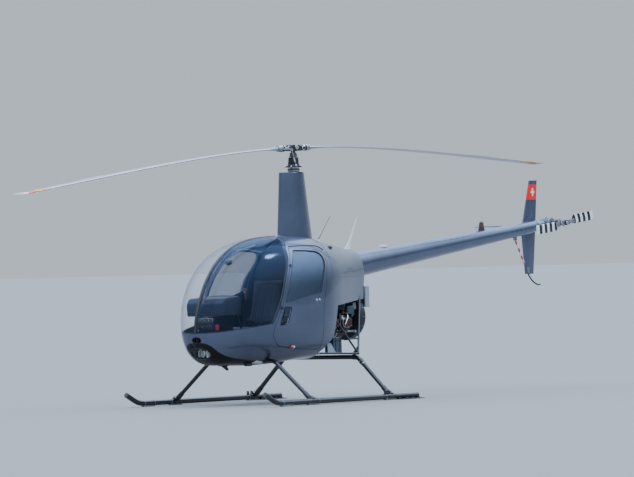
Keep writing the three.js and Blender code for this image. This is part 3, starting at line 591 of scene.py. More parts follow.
def glass(name, tint, face, edge, blur):
    """Clear sheet that mirrors a little, and more towards its grazing edge."""
    f = Finish(name, tint, 0.03, 0.85, 0.0, face)
    graze = f.node("LayerWeight", {}, {"Blend": 0.5}, out="Facing")
    graze = graze * graze
    f.set("Alpha", graze * graze * (edge - face) + face)
    f.set("Roughness", f.noise(6, 4) * 0.04 + blur)
    f.height(f.noise(3, 2), 0.4)
    f.material.surface_render_method = "BLENDED"


def cloth(name, colour, threads):
    """Plain weave: two crossed sets of threads with a soft nap."""
    f = Finish(name, colour, 0.85)
    f.set("Sheen Weight", 0.15)
    f.set("Sheen Roughness", 0.5)

    def thread(axis):
        return f.maths("SINE", axis * (threads * 6.2832)) * 0.5 + 0.5

    weave = thread(f.x + f.z) * thread(f.y)
    fine = f.noise(900, 2)
    dark, light = tuple(c * 0.72 for c in colour), tuple(c * 1.35 for c in colour)
    f.set("Base Color", f.blend(weave * 0.6 + fine * 0.4, (*dark, 1), (*light, 1)))
    f.set("Roughness", fine * 0.15 + 0.76)
    f.height(weave * 0.7 + fine * 0.3, 0.4)


def firewall_sheet():
    """Dark lining towards the cabin, bare sheet towards the engine."""
    f = Finish("firewall sheet", (0.42, 0.44, 0.47), 0.45, 0.8)
    tone = f.worn(60, 0.12, 0.05, 3.0)
    facing = f.node("SeparateXYZ", {}, {"Vector": f.node("TexCoord", out="Normal")}, out="X")
    front = f.step(facing, 0.05, 0.2)
    f.set("Base Color", f.blend(front, tone, (0.014, 0.02, 0.034, 1)))
    f.set("Metallic", 0.8 - front * 0.8)


# Cabin and cowling body, as slanted ribs from the nose to the tail cone
RIBS = (
    # topX, topZ, bottomX, bottomZ, halfWidth, waist, upperPower, lowerPower
    (1632, 720, 1618, 660, 22, 0.50, 2.0, 2.0),
    (1640, 790, 1592, 582, 135, 0.45, 2.0, 2.3),
    (1626, 905, 1539, 496, 222, 0.42, 2.1, 2.4),
    (1575, 1060, 1415, 427, 305, 0.42, 2.2, 2.65),
    (1470, 1265, 1257, 414, 398, 0.46, 2.3, 2.55),
    (1300, 1465, 1090, 408, 475, 0.50, 2.4, 2.65),
    (1060, 1620, 900, 404, 530, 0.54, 2.5, 2.9),
    (760, 1705, 700, 412, 556, 0.56, 2.5, 3.3),
    (450, 1735, 450, 438, 562, 0.56, 2.5, 4.2),
    (150, 1735, 150, 447, 548, 0.50, 2.4, 4.5),
    (-100, 1716, -100, 452, 486, 0.40, 2.1, 4.3),
    (-350, 1668, -350, 466, 392, 0.33, 1.9, 4.0),
    (-650, 1612, -650, 482, 275, 0.30, 1.9, 4.0),
    (-930, 1570, -930, 500, 172, 0.27, 2.0, 4.0),
)
LAST = len(RIBS) - 1

# Outlines in side view, [x, z]
WINDSHIELD = (
    (FAR, 717), (1007, 829), (915, 1007), (804, 1267), (690, 1462),
    (615, 1600), (520, 1665), (400, 1715), (283, 1762), (283, FAR), (FAR, FAR),
)
DOOR = (
    (570, 1603), (640, 1510), (667, 1455), (780, 1260), (890, 1000), (977, 810), (990, 750),
    (985, 700), (940, 639), (878, 601), (630, 570), (300, 553), (262, 556), (250, 575),
    (236, 996), (148, 1317), (84, 1452), (58, 1530), (75, 1562), (312, 1597),
)
MAIN_WINDOW = (
    (533, 1584), (335, 1581), (195, 1571), (142, 1553), (112, 1521), (106, 1472), (140, 1398),
    (205, 1300), (271, 1141), (575, 1092), (842, 1044), (808, 1130), (718, 1317), (640, 1450),
)
LOW_WINDOW = ((852, 1006), (748, 996), (787, 873), (822, 821), (921, 811), (900, 889))
CABIN_AFT = ((212, 520), (100, 1000), (20, 1292), (-30, 1500), (-60, 1640), (-60, FAR))
BAY_TOP = ((212, 520), (13, 680), (-74, 997), (-867, 1054))
SIDE_AFT = -912
SILL = ((1007, 829), (957, 812), (500, 800), (262, 546), (212, 520))
CREASE_Z = 1292
COWL_AFT = -920
BOW_HALF = 14
DOOR_GAP = 6.5
DOOR_REACH = 2
LAMP_Z, VENT_Z = 546, 683
LAMP_HOLE, VENT_HOLE = (LAMP_Z, 129, 57), (VENT_Z, 56, 30)
GEAR = (
    # name, footX, elbowY, elbowZ, radius
    ("front", 914, 430, 452, 22),
    ("rear", -368, 503, 447, 24),
)
SKID_Y, SKID_Z, SKID_R = 937, 34, 28
GEAR_HOLE = 3


def rib_at(t):
    """The rib at a share t of the way along the table, on a smooth line through its rows."""
    i = min(max(int(t), 0), LAST - 1)
    u = t - i
    first = RIBS[i - 1] if i else [2 * a - b for a, b in zip(RIBS[0], RIBS[1])]
    last = RIBS[i + 2] if i + 2 <= LAST else [2 * a - b for a, b in zip(RIBS[LAST], RIBS[LAST - 1])]
    return [
        0.5 * (2 * b + (c - a) * u + (2 * a - 5 * b + 4 * c - d) * u * u
               + (3 * b - a - 3 * c + d) * u ** 3)
        for a, b, c, d in zip(first, RIBS[i], RIBS[i + 1], last)
    ]


def skin(t, angle):
    """A point of the body's skin in the tables' millimetres; angle 0 is its top."""
    top_x, top_z, low_x, low_z, half, waist, upper, lower = rib_at(t)
    x, z = top_x + (low_x - top_x) * waist, top_z + (low_z - top_z) * waist
    rise, out = math.cos(angle), math.sin(angle)
    power = upper if rise >= 0 else lower
    end_x, end_z = (top_x, top_z) if rise >= 0 else (low_x, low_z)
    reach = abs(rise) ** (2 / power)
    y = math.copysign(half * abs(out) ** (2 / power), out)
    return Vector((x + (end_x - x) * reach, y, z + (end_z - z) * reach))


def even_angles(count):
    """Angles that share out the skin's way round evenly."""
    fine = 4000
    run, total, last = [], 0.0, None
    for k in range(fine + 1):
        a = 2 * math.pi * k / fine
        p = (math.copysign(abs(math.sin(a)) ** 0.76, math.sin(a)),
             math.copysign(abs(math.cos(a)) ** 0.76, math.cos(a)) * 1.15)
        total += math.dist(p, last) if last else 0
        last = p
        run.append((total, a))
    angles, k = [], 0
    for j in range(count + 1):
        while k < fine and run[k][0] < total * j / count - 1e-9:
            k += 1
        angles.append(run[k][1])
    return angles


STATIONS, ROUND = 104, 120
ANGLES = even_angles(ROUND)


def hull(inset, wall):
    """The whole body as a closed shell, its outer skin inset and its wall inwards, in millimetres."""
    bpy.ops.mesh.primitive_grid_add(x_subdivisions=STATIONS, y_subdivisions=ROUND, size=1)
    made = settle()
    for vertex in made.data.vertices:
        t = (vertex.co.x + 0.5) * LAST
        vertex.co = at(*skin(t, ANGLES[round((vertex.co.y + 0.5) * ROUND)]))
    close_up(made)
    if inset:
        for vertex, normal in [(v, v.normal.copy()) for v in made.data.vertices]:
            vertex.co -= normal * inset / 1000
    if wall:
        modify(made, "SOLIDIFY", thickness=wall / 1000, offset=-1, use_even_offset=True)
    return made


def grow(outline, d):
    """An outline moved out by d, with mitred corners."""
    count = len(outline)
    area = sum(a[0] * b[1] - b[0] * a[1] for a, b in zip(outline, outline[1:] + outline[:1]))
    side = 1 if area > 0 else -1

    def normal(a, b):
        length = math.dist(a, b)
        return side * (b[1] - a[1]) / length, -side * (b[0] - a[0]) / length

    grown = []
    for i, p in enumerate(outline):
        before, after = normal(outline[i - 1], p), normal(p, outline[(i + 1) % count])
        scale = d / (1 + before[0] * after[0] + before[1] * after[1])
        grown.append((p[0] + scale * (before[0] + after[0]), p[1] + scale * (before[1] + after[1])))
    return tuple(grown)


def soften(outline, reach, steps=8):
    """An outline with its corners rounded."""
    smooth = []
    for i, p in enumerate(outline):
        smooth += bend(outline[i - 1], p, outline[(i + 1) % len(outline)], reach, steps)
    return tuple(tuple(p) for p in smooth)


def through(outline, sign=0, near=0):
    """A cutter: a side-view outline through the whole body, or through one side of it."""
    low, high = {0: (-WIDE, WIDE), 1: (near, WIDE), -1: (-WIDE, -near)}[sign]
    return side_slab(outline, low, high)


def panel(shell, keep, *cuts):
    """A body panel: the part of a shell inside one cutter and outside the others."""
    made = carve(twin(shell), keep, "INTERSECT")
    for cutter in cuts:
        carve(made, cutter)
    return made


def on_skin(form, x, z, sign=1):
    """Where a line across the body at x and z meets its skin, and the way that it faces."""
    start = at(x, sign * WIDE, z)
    hit, place, facing, _ = form.ray_cast(start, (0, -sign, 0))
    if not hit:
        raise ValueError(f"no skin at {x}, {z}")
    return place, facing


def under_skin(form, x, y, up=False):
    """Where an upright line at x and y meets the skin from below, or from above."""
    start = at(x, y, 3000 if up else -500)
    _, place, facing, _ = form.ray_cast(start, (0, 0, -1 if up else 1))
    return place, facing


def oval_cutter(hole, extra, x0=1380):
    """A cutter along X for the lamp window or the vent, wider all round by extra and open to the nose."""
    z, wide, high = hole[0], hole[1] + extra, hole[2] + extra
    bpy.ops.mesh.primitive_cylinder_add(
        vertices=48, radius=1, depth=(FAR - x0) / 1000, location=at((x0 + FAR) / 2, 0, z),
        rotation=(0, math.pi / 2, 0), scale=(high / 1000, wide / 1000, 1),
    )
    return settle()


def cut_for_gear(piece):
    """Cuts the holes that the front cross tube and its legs pass through."""
    _, foot, elbow_y, elbow_z, radius = GEAR[0]
    hole = radius + GEAR_HOLE
    carve(piece, rod((foot, -elbow_y, elbow_z), (foot, elbow_y, elbow_z), hole))
    for sign in (1, -1):
        carve(piece, rod((foot, sign * (elbow_y - 6), elbow_z + 5), (foot, sign * SKID_Y, SKID_Z), hole))
    return piece


def door_cut():
    """Cuts both doorways, with the gap round each door."""
    return through(soften(grow(DOOR, DOOR_GAP), 18))


class HELICOPTER_OT_body(bpy.types.Operator):
    """Nose, belly, roof, door posts and cowlings, with gutters, lamps and rivets"""

    bl_idname = "helicopter.body"
    bl_label = "Body panels"

    def execute(self, context):
        thick, thin = hull(0, 22), hull(0, 7)
        form = hull(0, 0)
        tub_outline = ((FAR, 300), (FAR, 716), *((x, z - 1) for x, z in SILL), (212, 300))
        tub = panel(thick, through(tub_outline), door_cut())
        carve(tub, oval_cutter(LAMP_HOLE, 2))
        carve(tub, oval_cutter(VENT_HOLE, 3))
        ready(cut_for_gear(tub), "nose_shell", "underside", "nose_and_belly", finish="belly paint")
        roof_outline = (*SILL, *CABIN_AFT[1:], (FAR, FAR), (FAR, 717))
        roof = panel(thick, through(roof_outline), through(grow(WINDSHIELD, 1.5)), door_cut(),
                     rod((0, 0, 1500), (0, 0, 1900), 40))
        ready(roof, "cabin_posts", "paint", "cabin_frame", finish="body paint")
        cone = rod((-868, 0, 1402.7), (-4100, 0, 1775.5), 139.5, 67, 48)
        low = ((212, 520), *BAY_TOP[1:], (SIDE_AFT, CREASE_Z), (19, CREASE_Z), (99, 1000))
        for side, sign in SIDES:
            cowl = panel(thin, through(low, sign))
            carve(cowl, cone, keep=True)
            ready(cowl, f"side_cowling_{side}", "paint", f"side_cowl_{side}", finish="body paint")
        aft = tuple((x - 1, z) for x, z in reversed(CABIN_AFT[3:]))
        high = ((COWL_AFT, CREASE_Z + 1), (COWL_AFT, FAR), *aft, (19, CREASE_Z + 1))
        proud = hull(-1.5, 8)
        cowl = carve(panel(proud, through(high), rod((0, 0, 1500), (0, 0, 1900), 40)), cone)
        ready(cowl, "top_cowling", "paint", "upper_cowl", finish="body paint")
        self.trims(form)
        self.rivets(form)
        discard(thick, thin, proud, form)
        return {"FINISHED"}

    def trims(self, form):
        """Rain gutters over the doors, and a position lamp low on each side."""
        for side, sign in SIDES:
            path = []
            for k in range(13):
                x = 551 - 539 * k / 12
                z = 1627 - 6 * ((x - 300) / 250) ** 2 - (40 if x < 120 else 0) * ((120 - x) / 108) ** 2
                place, facing = on_skin(form, x, z, sign)
                path.append(in_tables(place + facing * 0.002))
            gutter = tube(path, 4.5, 10, 1, 1)
            ready(gutter, f"rain_gutter_{side}", "bow_black", finish="rubber")
            place, facing = on_skin(form, 704, 586, sign)
            x, y, z = in_tables(place)
            base = dress(ball((x - 12, y, z + 2), 25, 24, (1.5, 0.55, 0.72)), "aerial white")
            lens = dress(ball((x + 6, y + sign * 9, z + 1), 21, 24, (1.2, 0.8, 0.8)),
                         "lens red" if sign > 0 else "lens green")
            ready([base, lens], f"position_lamp_{side}", "beacon_red")

    def rivets(self, form):
        """Rivet rows along the panel joints of the cowlings and cabin."""
        places = []
        for sign in (1, -1):
            rows = (
                ((206, 560), (96, 985), 12), ((92, 1015), (12, 1270), 8),
                ((-60, 1012), (-850, 1070), 19), ((5, 1308), (-905, 1308), 22),
                ((5, 1276), (-895, 1276), 22), ((-30, 1330), (-55, 1560), 7),
                ((225, 560), (118, 985), 12), ((108, 1030), (38, 1270), 7),
                ((-862, 1090), (-892, 1260), 5), ((930, 798), (520, 786), 9),
            )
            for (x0, z0), (x1, z1), count in rows:
                for k in range(count):
                    s = (k + 0.5) / count
                    places.append(on_skin(form, x0 + (x1 - x0) * s, z0 + (z1 - z0) * s, sign))
        row = studs(places, 3.6, 1.3)
        ready(row, "body_rivets", "rotor_steel", finish="dull steel")


class HELICOPTER_OT_glazing(bpy.types.Operator):
    """Windshields, their centre bow and edge strips, and the nose lamps behind their window"""

    bl_idname = "helicopter.glazing"
    bl_label = "Windshields and nose"

    def execute(self, context):
        pane, bow = hull(0, 5), hull(-2, 30)
        strip, flange = hull(-2, 5), hull(5.3, 19)
        for side, sign in SIDES:
            sheet = panel(pane, through(WINDSHIELD, sign, BOW_HALF + 1))
            ready(sheet, f"windshield_{side}", "glazing", f"windshield_{side}", finish="windshield glass")
        middle = panel(bow, side_slab(WINDSHIELD, -BOW_HALF, BOW_HALF))
        ready(middle, "windshield_bow", "bow_black", "windshield_bow", finish="satin black")
        edge = panel(strip, through(grow(WINDSHIELD, 13)), through(grow(WINDSHIELD, -1)))
        ready(edge, "windshield_edge", "paint", finish="body paint")
        # Black seal ring behind the glass's edge; it also stands in for shade, darkening the frame's cut face
        # that shows through the glass
        seal_and_shade = panel(flange, through(grow(WINDSHIELD, 1.2)), through(grow(WINDSHIELD, -8)))
        ready(seal_and_shade, "windshield_seal_and_shade", "bow_black", finish="rubber")
        self.nose()
        discard(pane, bow, strip, flange)
        return {"FINISHED"}

    def nose(self):
        """Landing lamps, the fresh air hole with its divider, and fittings below the nose."""
        cover, rim = hull(2, 3), hull(-2, 7)
        window = carve(twin(cover), oval_cutter(LAMP_HOLE, 0), "INTERSECT")
        ready(window, "lamp_cover", "glazing", "lamp_window", finish="lamp glass")
        ring = carve(twin(rim), oval_cutter(LAMP_HOLE, 6), "INTERSECT")
        carve(ring, oval_cutter(LAMP_HOLE, -4))
        ready(ring, "lamp_rim", "bow_black", finish="gloss black")
        parts = []
        for sign in (1, -1):
            y = sign * 50
            parts += [
                dress(rod((1444, y, LAMP_Z), (1484, y, LAMP_Z), 26, 46, 48), "lamp mirror"),
                dress(hoop((1487, y, LAMP_Z), (1, 0, 0), 45, 4, 48), "bright steel"),
                dress(ball((1476, y, LAMP_Z), 43, 40, (0.3, 1, 1)), "lamp face"),
                dress(rod((1424, y, LAMP_Z), (1446, y, LAMP_Z), 18, 24, 24), "satin black"),
            ]
        cup = oval_cutter(LAMP_HOLE, 5, 1410)
        carve(cup, oval_cutter(LAMP_HOLE, 0, 1416))
        carve(cup, hull(23, 0), "INTERSECT")
        parts += dressed("satin black", cup)
        ready(parts, "landing_lamps", "lamp_metal", "landing_lamps")
        mouth = carve(twin(rim), oval_cutter(VENT_HOLE, 6), "INTERSECT")
        carve(mouth, oval_cutter(VENT_HOLE, 0))
        duct = oval_cutter(VENT_HOLE, 4, 1560)
        carve(duct, oval_cutter(VENT_HOLE, 0, 1572))
        carve(duct, hull(4, 0), "INTERSECT")
        vent = [dress(mouth, "rubber"), dress(duct, "satin black")]
        vent += dressed("satin black", block(1578, 1618, -4, 4, VENT_Z - 30, VENT_Z + 30, 1))
        for y in (-28, 28):
            vent += dressed("dark steel", hoop((1600, y, VENT_Z), (1, 0, 0), 23, 2.5, 36))
        ready(vent, "fresh_air_hole", "bow_black")
        strip = tube([(1634, -6, 622), (1634, -34, 640), (1630, -52, 668)], 3, 20, 1)
        ready(strip, "nose_drain", "rotor_steel", finish="satin black")
        form = hull(0, 0)
        place, _ = under_skin(form, 1196, 0)
        z = place.z * 1000
        stub = slab([at(1262, -4, z + 4), at(1160, -4, z + 4), at(1128, -4, z - 46), at(1160, -4, z - 52)],
                    (0, 0.008, 0), 2)
        foot = block(1150, 1270, -22, 22, z - 4, z + 3, 2)
        ready([dress(stub, "satin black"), dress(foot, "satin black")], "belly_aerial",
              "black_tube")
        plate = carve(
            hull(-2.5, 5), side_slab(((1046, 410), (1030, 470), (900, 462), (890, 400)), 236, 296),
            "INTERSECT",
        )
        ready(plate, "belly_plate", "white_aerial", finish="aerial white")
        place, _ = under_skin(form, 1060, 205)
        z = place.z * 1000
        scoop = block(1020, 1105, 180, 232, z - 26, z + 12, 12, 3)
        ready(scoop, "belly_scoop", "bow_black", finish="satin black")
        discard(cover, rim, form)


HINGE_TOP, HINGE_LOW = (671, 494, 1452), (911, 562, 965)


def hinge_point(share, sign):
    p = [a + (b - a) * share for a, b in zip(HINGE_TOP, HINGE_LOW)]
    return (p[0], sign * p[1], p[2])


class HELICOPTER_OT_doors(bpy.types.Operator):
    """Both doors with their windows, seals, hinges and latches"""

    bl_idname = "helicopter.doors"
    bl_label = "Doors"

    def execute(self, context):
        thick, pane = hull(0, 20), hull(7, 5)
        lip, seal = hull(-1.5, 9), hull(5, 12)
        lining = hull(20.5, 4)
        for side, sign in SIDES:
            body = f"{side}_door"
            main, low = soften(MAIN_WINDOW, 14), soften(LOW_WINDOW, 18)
            leaf = panel(
                thick, through(soften(grow(DOOR, DOOR_REACH), 18), sign), through(main, sign),
                through(low, sign),
            )
            ready(leaf, f"door_skin_{side}", "paint", f"door_{side}", finish="body paint", body=body)
            inner = panel(
                lining, through(soften(grow(DOOR, -22), 18), sign),
                through(soften(grow(MAIN_WINDOW, 8), 18), sign),
                through(soften(grow(LOW_WINDOW, 10), 20), sign),
            )
            ready(inner, f"door_lining_{side}", "trim", finish="dark lining", body=body)
            high_pane = panel(pane, through(soften(grow(MAIN_WINDOW, 6), 16), sign))
            low_pane = panel(pane, through(soften(grow(LOW_WINDOW, 8), 20), sign))
            panes = join(dress(high_pane, "door glass"), dress(low_pane, "low window glass"))
            ready(panes, f"door_panes_{side}", "glazing", f"door_window_{side}", body=body)
            rubbers = [
                panel(
                    lip, through(soften(grow(MAIN_WINDOW, 2), 15), sign),
                    through(soften(grow(MAIN_WINDOW, -3), 12), sign),
                ),
                panel(
                    lip, through(soften(grow(LOW_WINDOW, 2), 19), sign),
                    through(soften(grow(LOW_WINDOW, -3), 16), sign),
                ),
                panel(
                    seal, through(soften(grow(DOOR, 3), 18), sign),
                    through(soften(grow(DOOR, -1), 18), sign),
                ),
            ]
            ready(rubbers, f"door_seals_{side}", "bow_black", finish="rubber", body=body)
            self.fittings(side, sign, body)
            self.latch(side, sign, body, thick)
        discard(thick, pane, lip, seal, lining)
        return {"FINISHED"}

    def fittings(self, side, sign, body):
        """Hinge halves on the door and on its post."""
        for part, way, reach, owner in (("door", 1, (-34, -8), body), ("post", -1, (4, 20), "airframe")):
            parts = []
            for share in (0.06, 0.94):
                a, b = hinge_point(share + way * 0.001, sign), hinge_point(share + way * 0.031, sign)
                parts.append(rod(a, b, 6.5, 6.5, 20, 1))
                x, y, z = ((p + q) / 2 for p, q in zip(a, b))
                low, high = sorted((sign * (abs(y) - 9), sign * (abs(y) - 3)))
                parts.append(block(x + reach[0], x + reach[1], low, high, z - 7, z + 7, 2))
            ready(parts, f"{part}_hinges_{side}", "black_tube", finish="satin black", body=owner)

    def latch(self, side, sign, body, form):
        """Turn button of the latch, and the round lock beside it."""
        parts = []
        for x, z, radius in ((354, 1060, 15), (304, 1062, 13)):
            place, facing = on_skin(form, x, z, sign)
            foot = in_tables(place)
            tip = tuple(Vector(foot) + facing * 7)
            parts += dressed("bright steel", rod(foot, tip, radius, radius - 2, 32, 2))
            top = tuple(Vector(foot) + facing * 9)
            parts += dressed("dull steel", rod(tip, top, radius * 0.5, radius * 0.42, 24, 0.8))
            x0, _, z0 = foot
            y0, y1 = sorted((top[1] - sign * 3, top[1] + sign * 1))
            parts += dressed(
                "satin black",
                block(x0 - radius * 0.45, x0 + radius * 0.45, y0, y1, z0 - 1.6, z0 + 1.6, 0.6),
            )
        ready(parts, f"door_latch_{side}", "black_tube", body=body)


# Rotor head and blades
HUB_Z, CONING_R, ROTOR_R, CHORD, THICK = 2656, 107, 3835, 183, 22
SWASH_Z, TEETER_Z, CONING_Z = 2461, 2664, 2654
BLADE_LINE, TIP_SAG, TEETER_RISE = math.radians(-4.97), 317, 135


def on_line(piece):
    """Turns a piece that lies along X on to the blades' line, about the mast."""
    piece.data.transform(about((0, 0, 0), "Z", BLADE_LINE))
    return piece


def blade_z(r, end):
    s = max(r - CONING_R, 0) / (ROTOR_R - CONING_R)
    return HUB_Z - TIP_SAG * s * s * (6 - 4 * s + s * s) / 3 - end * TEETER_RISE * r / ROTOR_R


FOIL = (
    (0, 0), (0.008, 0.3), (0.03, 0.56), (0.07, 0.77), (0.14, 0.93), (0.26, 1.0), (0.42, 0.9), (0.6, 0.66),
    (0.8, 0.34), (1, 0.05), (1, -0.05), (0.8, -0.34), (0.6, -0.66), (0.42, -0.9), (0.26, -1.0),
    (0.14, -0.93), (0.07, -0.77), (0.03, -0.56), (0.008, -0.3),
)


def foil_ring(r, end, chord, thick):
    """One section of a main blade, square to the blade."""
    return [at(end * r, end * (0.25 - a) * chord, blade_z(r, end) + u * thick / 2) for a, u in FOIL]


class HELICOPTER_OT_rotor(bpy.types.Operator):
    """Mast, swashplate, teetering hub with its bolts and pitch links, and both main blades"""

    bl_idname = "helicopter.rotor"
    bl_label = "Main rotor"

    def execute(self, context):
        self.mast()
        self.hub()
        for name, end in (("front", 1), ("rear", -1)):
            self.blade(name, end)
        return {"FINISHED"}

    def mast(self):
        """Mast tube, the dark stack round it, and the swashplate with its arms."""
        parts = [
            dress(rod((0, 0, 1532), (0, 0, 2630), 24, 24, 32), "dark steel"),
            dress(rod((0, 0, 2404), (0, 0, 2424), 60, 64, 40, 2), "dull steel"),
            dress(rod((0, 0, 2424), (0, 0, 2440), 66, 66, 40, 2), "dark steel"),
            dress(rod((0, 0, 2441), (0, 0, 2450), 56, 58, 40, 1), "bright steel"),
            dress(rod((0, 0, 2451), (0, 0, 2470), 72, 70, 40, 3), "dark steel"),
            dress(rod((0, 0, 2471), (0, 0, 2484), 62, 60, 40, 2), "dark steel"),
        ]
        for k in range(6):
            z = 2486 + 13 * k
            parts += dressed(
                "rubber", hoop((0, 0, z), (0, 0, 1), 54 - k, 6, 32, 8),
                rod((0, 0, z - 6), (0, 0, z + 7), 52 - k, 52 - k, 32),
            )
        parts += dressed("satin black", rod((0, 0, 2562), (0, 0, 2606), 44, 34, 32, 2))
        for turn in (25, 115, 205, 295):
            a = math.radians(turn)
            x, y = math.cos(a), math.sin(a)
            arm = rod((x * 50, y * 50, SWASH_Z), (x * 86, y * 86, SWASH_Z), 10, 8, 16, 2)
            parts += [
                dress(arm, "dark steel"), dress(ball((x * 90, y * 90, SWASH_Z), 9, 16), "bright steel")
            ]
        ready(parts, "mast_and_swashplate", "rotor_steel", body="main_rotor")

    def hub(self):
        """Hub block between its two plates, with teeter and coning bolts, horns and links."""
        cheek = [(-118, 2634), (-128, 2650), (-118, 2672), (-64, 2680), (-40, 2689), (40, 2689), (64, 2680),
                 (118, 2672), (128, 2650), (118, 2634), (60, 2624), (-60, 2624)]
        parts = [dress(side_slab(cheek, y, y + 13, 3), "dark steel") for y in (-48, 35)]
        parts += [
            dress(block(-34, 34, -36, 36, 2622, 2690, 8, 3), "dark steel"),
            dress(rod((0, -66, TEETER_Z), (0, 66, TEETER_Z), 16, 16, 28, 2), "bright steel"),
            dress(rod((0, -62, TEETER_Z), (0, -49, TEETER_Z), 25, 25, 6, 3), "bright steel"),
            dress(rod((0, 49, TEETER_Z), (0, 62, TEETER_Z), 25, 25, 28, 3), "bright steel"),
            dress(rod((0, 0, 2630), (0, 0, 2660), 30, 30, 32, 3), "dark steel"),
        ]
        for end in (1, -1):
            x = end * CONING_R
            parts += [
                dress(rod((x, -62, CONING_Z), (x, 62, CONING_Z), 12, 12, 24, 2), "bright steel"),
                dress(rod((x, 49, CONING_Z), (x, 57, CONING_Z), 24, 22, 28, 2), "bright steel"),
                dress(rod((x, -57, CONING_Z), (x, -49, CONING_Z), 22, 24, 28, 2), "bright steel"),
                dress(rod((x, 57, CONING_Z), (x, 64, CONING_Z), 14, 14, 6, 1), "dark steel"),
            ]
        ready(on_line(join(*parts)), "rotor_hub", "rotor_steel", "rotor_mast_and_hub", body="main_rotor")
        links = []
        for end in (1, -1):
            low, high = (end * 40, end * 78, 2470), (end * 116, end * 98, 2632)
            middle = [(a + b) / 2 for a, b in zip(low, high)]
            links += [
                dress(rod(low, high, 6, 6, 16, 1), "dull steel"),
                dress(
                    rod([a + (b - a) * 0.25 for a, b in zip(low, high)], middle, 8.5, 8.5, 6, 1),
                    "bright steel",
                ),
                dress(ball(low, 11, 16), "bright steel"), dress(ball(high, 12, 16), "bright steel"),
            ]
        ready(on_line(join(*links)), "pitch_links", "rotor_steel", body="main_rotor")

    def blade(self, name, end):
        """A long blade with its tapered root fitting, pitch housing, boot and horn."""
        rings = []
        for k in range(41):
            r = 345 + (ROTOR_R - 345) * k / 40
            tip = 1 - 0.35 * max(0, (r - 3800) / 35) ** 2
            rings.append(foil_ring(r, end, CHORD * (0.985 if k == 0 else 1), THICK * tip))
        parts = [dress(skinned(rings), "blade skin")]
        cuff = [
            (214, 62, 46), (240, 84, 44), (275, 128, 38), (312, 165, 31), (345, 180, 26), (380, 181, 24.5)
        ]
        rings = [foil_ring(r, end, chord, thick) for r, chord, thick in cuff]
        parts += dressed("plate blue grey", skinned(rings))

        def along(r0, r1, a, b, finish, soft=1.5, sides=32):
            ends = [(end * r, 0, blade_z(r, end)) for r in (r0, r1)]
            return dress(rod(*ends, a, b, sides, soft), finish)

        parts += [
            along(135, 150, 34, 36, "bright steel"),
            along(150, 178, 36, 36, "dark steel"),
            along(178, 186, 37.4, 37.4, "bright steel"),
            along(186, 232, 36, 32, "dull steel", 3),
        ]
        for k in range(4):
            parts.append(along(140 + k * 7, 144 + k * 7, 35, 35, "rubber", 1))
        z = blade_z(165, end)
        horn = slab(
            [
                at(end * 150, end * 34, z - 14), at(end * 182, end * 34, z - 14),
                at(end * 138, end * 112, z - 20), at(end * 112, end * 112, z - 20),
            ],
            (0, 0, 0.014), 3,
        )
        parts += dressed("dull steel", horn)
        for r in (262, 300, 338):
            for across in (-26, 6):
                p = (end * r, end * across, blade_z(r, end) + 15)
                parts += dressed("bright steel", rod(p, (p[0], p[1], p[2] + 6), 7, 6, 6, 0.8))
        tab = slab(
            [
                at(end * r, end * a, blade_z(r, end))
                for r, a in ((2600, -136), (2900, -136), (2900, -168), (2600, -168))
            ],
            (0, 0, 0.0016),
        )
        parts += dressed("bare sheet", tab)
        blade = join(*parts)
        ready(
            on_line(blade), f"main_rotor_blade_{name}", "blade_skin", f"main_blade_{name}",
            body="main_rotor",
        )


class HELICOPTER_OT_fairing(bpy.types.Operator):
    """Tall oval fairing round the mast with its top plate, and the gear case inside it"""

    bl_idname = "helicopter.fairing"
    bl_label = "Mast fairing"

    def execute(self, context):
        levels = ((11, 268, 104, 1660), (11, 262, 98, 1700), (12, 260, 96, 1735), (25, 222, 91, 2040),
                  (35, 193, 87, 2290), (39, 181, 85, 2396), (39, 178, 82, 2400))
        count = 56
        rings = [
            [
                at(
                    cx + half * math.cos(2 * math.pi * j / count), wide * math.sin(2 * math.pi * j / count),
                    z,
                )
                for j in range(count)
            ]
            for cx, half, wide, z in levels
        ]
        shell = skinned(rings)
        form = hull(0.5, 0)
        carve(shell, form)
        carve(shell, rod((0, 0, 1500), (0, 0, 2500), 40, 40, 40))
        parts = [dress(shell, "body paint")]
        cap = rod((0, 0, 2394), (0, 0, 2403), 92, 92, 40)
        carve(cap, rod((0, 0, 2300), (0, 0, 2500), 44, 44, 40))
        parts += dressed("dark steel", cap)
        places = []
        for sign in (1, -1):
            for k in range(14):
                s = (k + 0.5) / 14
                z = 1760 + 620 * s
                x = 11 + 28 * s
                wide = 97 - 12 * s
                places.append((at(x - 60, sign * wide * 0.955, z), (-0.1, sign, 0)))
        heads = studs(places, 3, 1.2)
        parts += dressed("dull steel", heads)
        ready(parts, "mast_fairing_shell", "paint", "mast_fairing")
        gearbox = [
            dress(rod((0, 0, 1277), (0, 0, 1300), 62, 62, 40, 3), "cast alloy"),
            dress(rod((0, 0, 1300), (0, 0, 1500), 54, 46, 40, 3), "cast alloy"),
            dress(rod((0, 0, 1500), (0, 0, 1530), 60, 60, 40, 3), "dull steel"),
        ]
        for k in range(8):
            x, y = 56 * math.cos(math.pi * k / 4), 56 * math.sin(math.pi * k / 4)
            gearbox += dressed("bright steel", rod((x, y, 1298), (x, y, 1306), 5, 5, 6))
        ready(gearbox, "main_gear_case", "bare_alloy", "main_gearbox")
        return {"FINISHED"}


# Tail
CONE_FRONT, CONE_REAR, CONE_R = (-868.3, 0, 1402.7), (-4100, 0, 1775.5), (139, 66.5)
FIN_Y, STAB_Z, BEACON_X = -80.5, 1801, -3210
TAIL_HUB = (-4390, 270, 1820)
TAIL_LINE = math.radians(6.4)


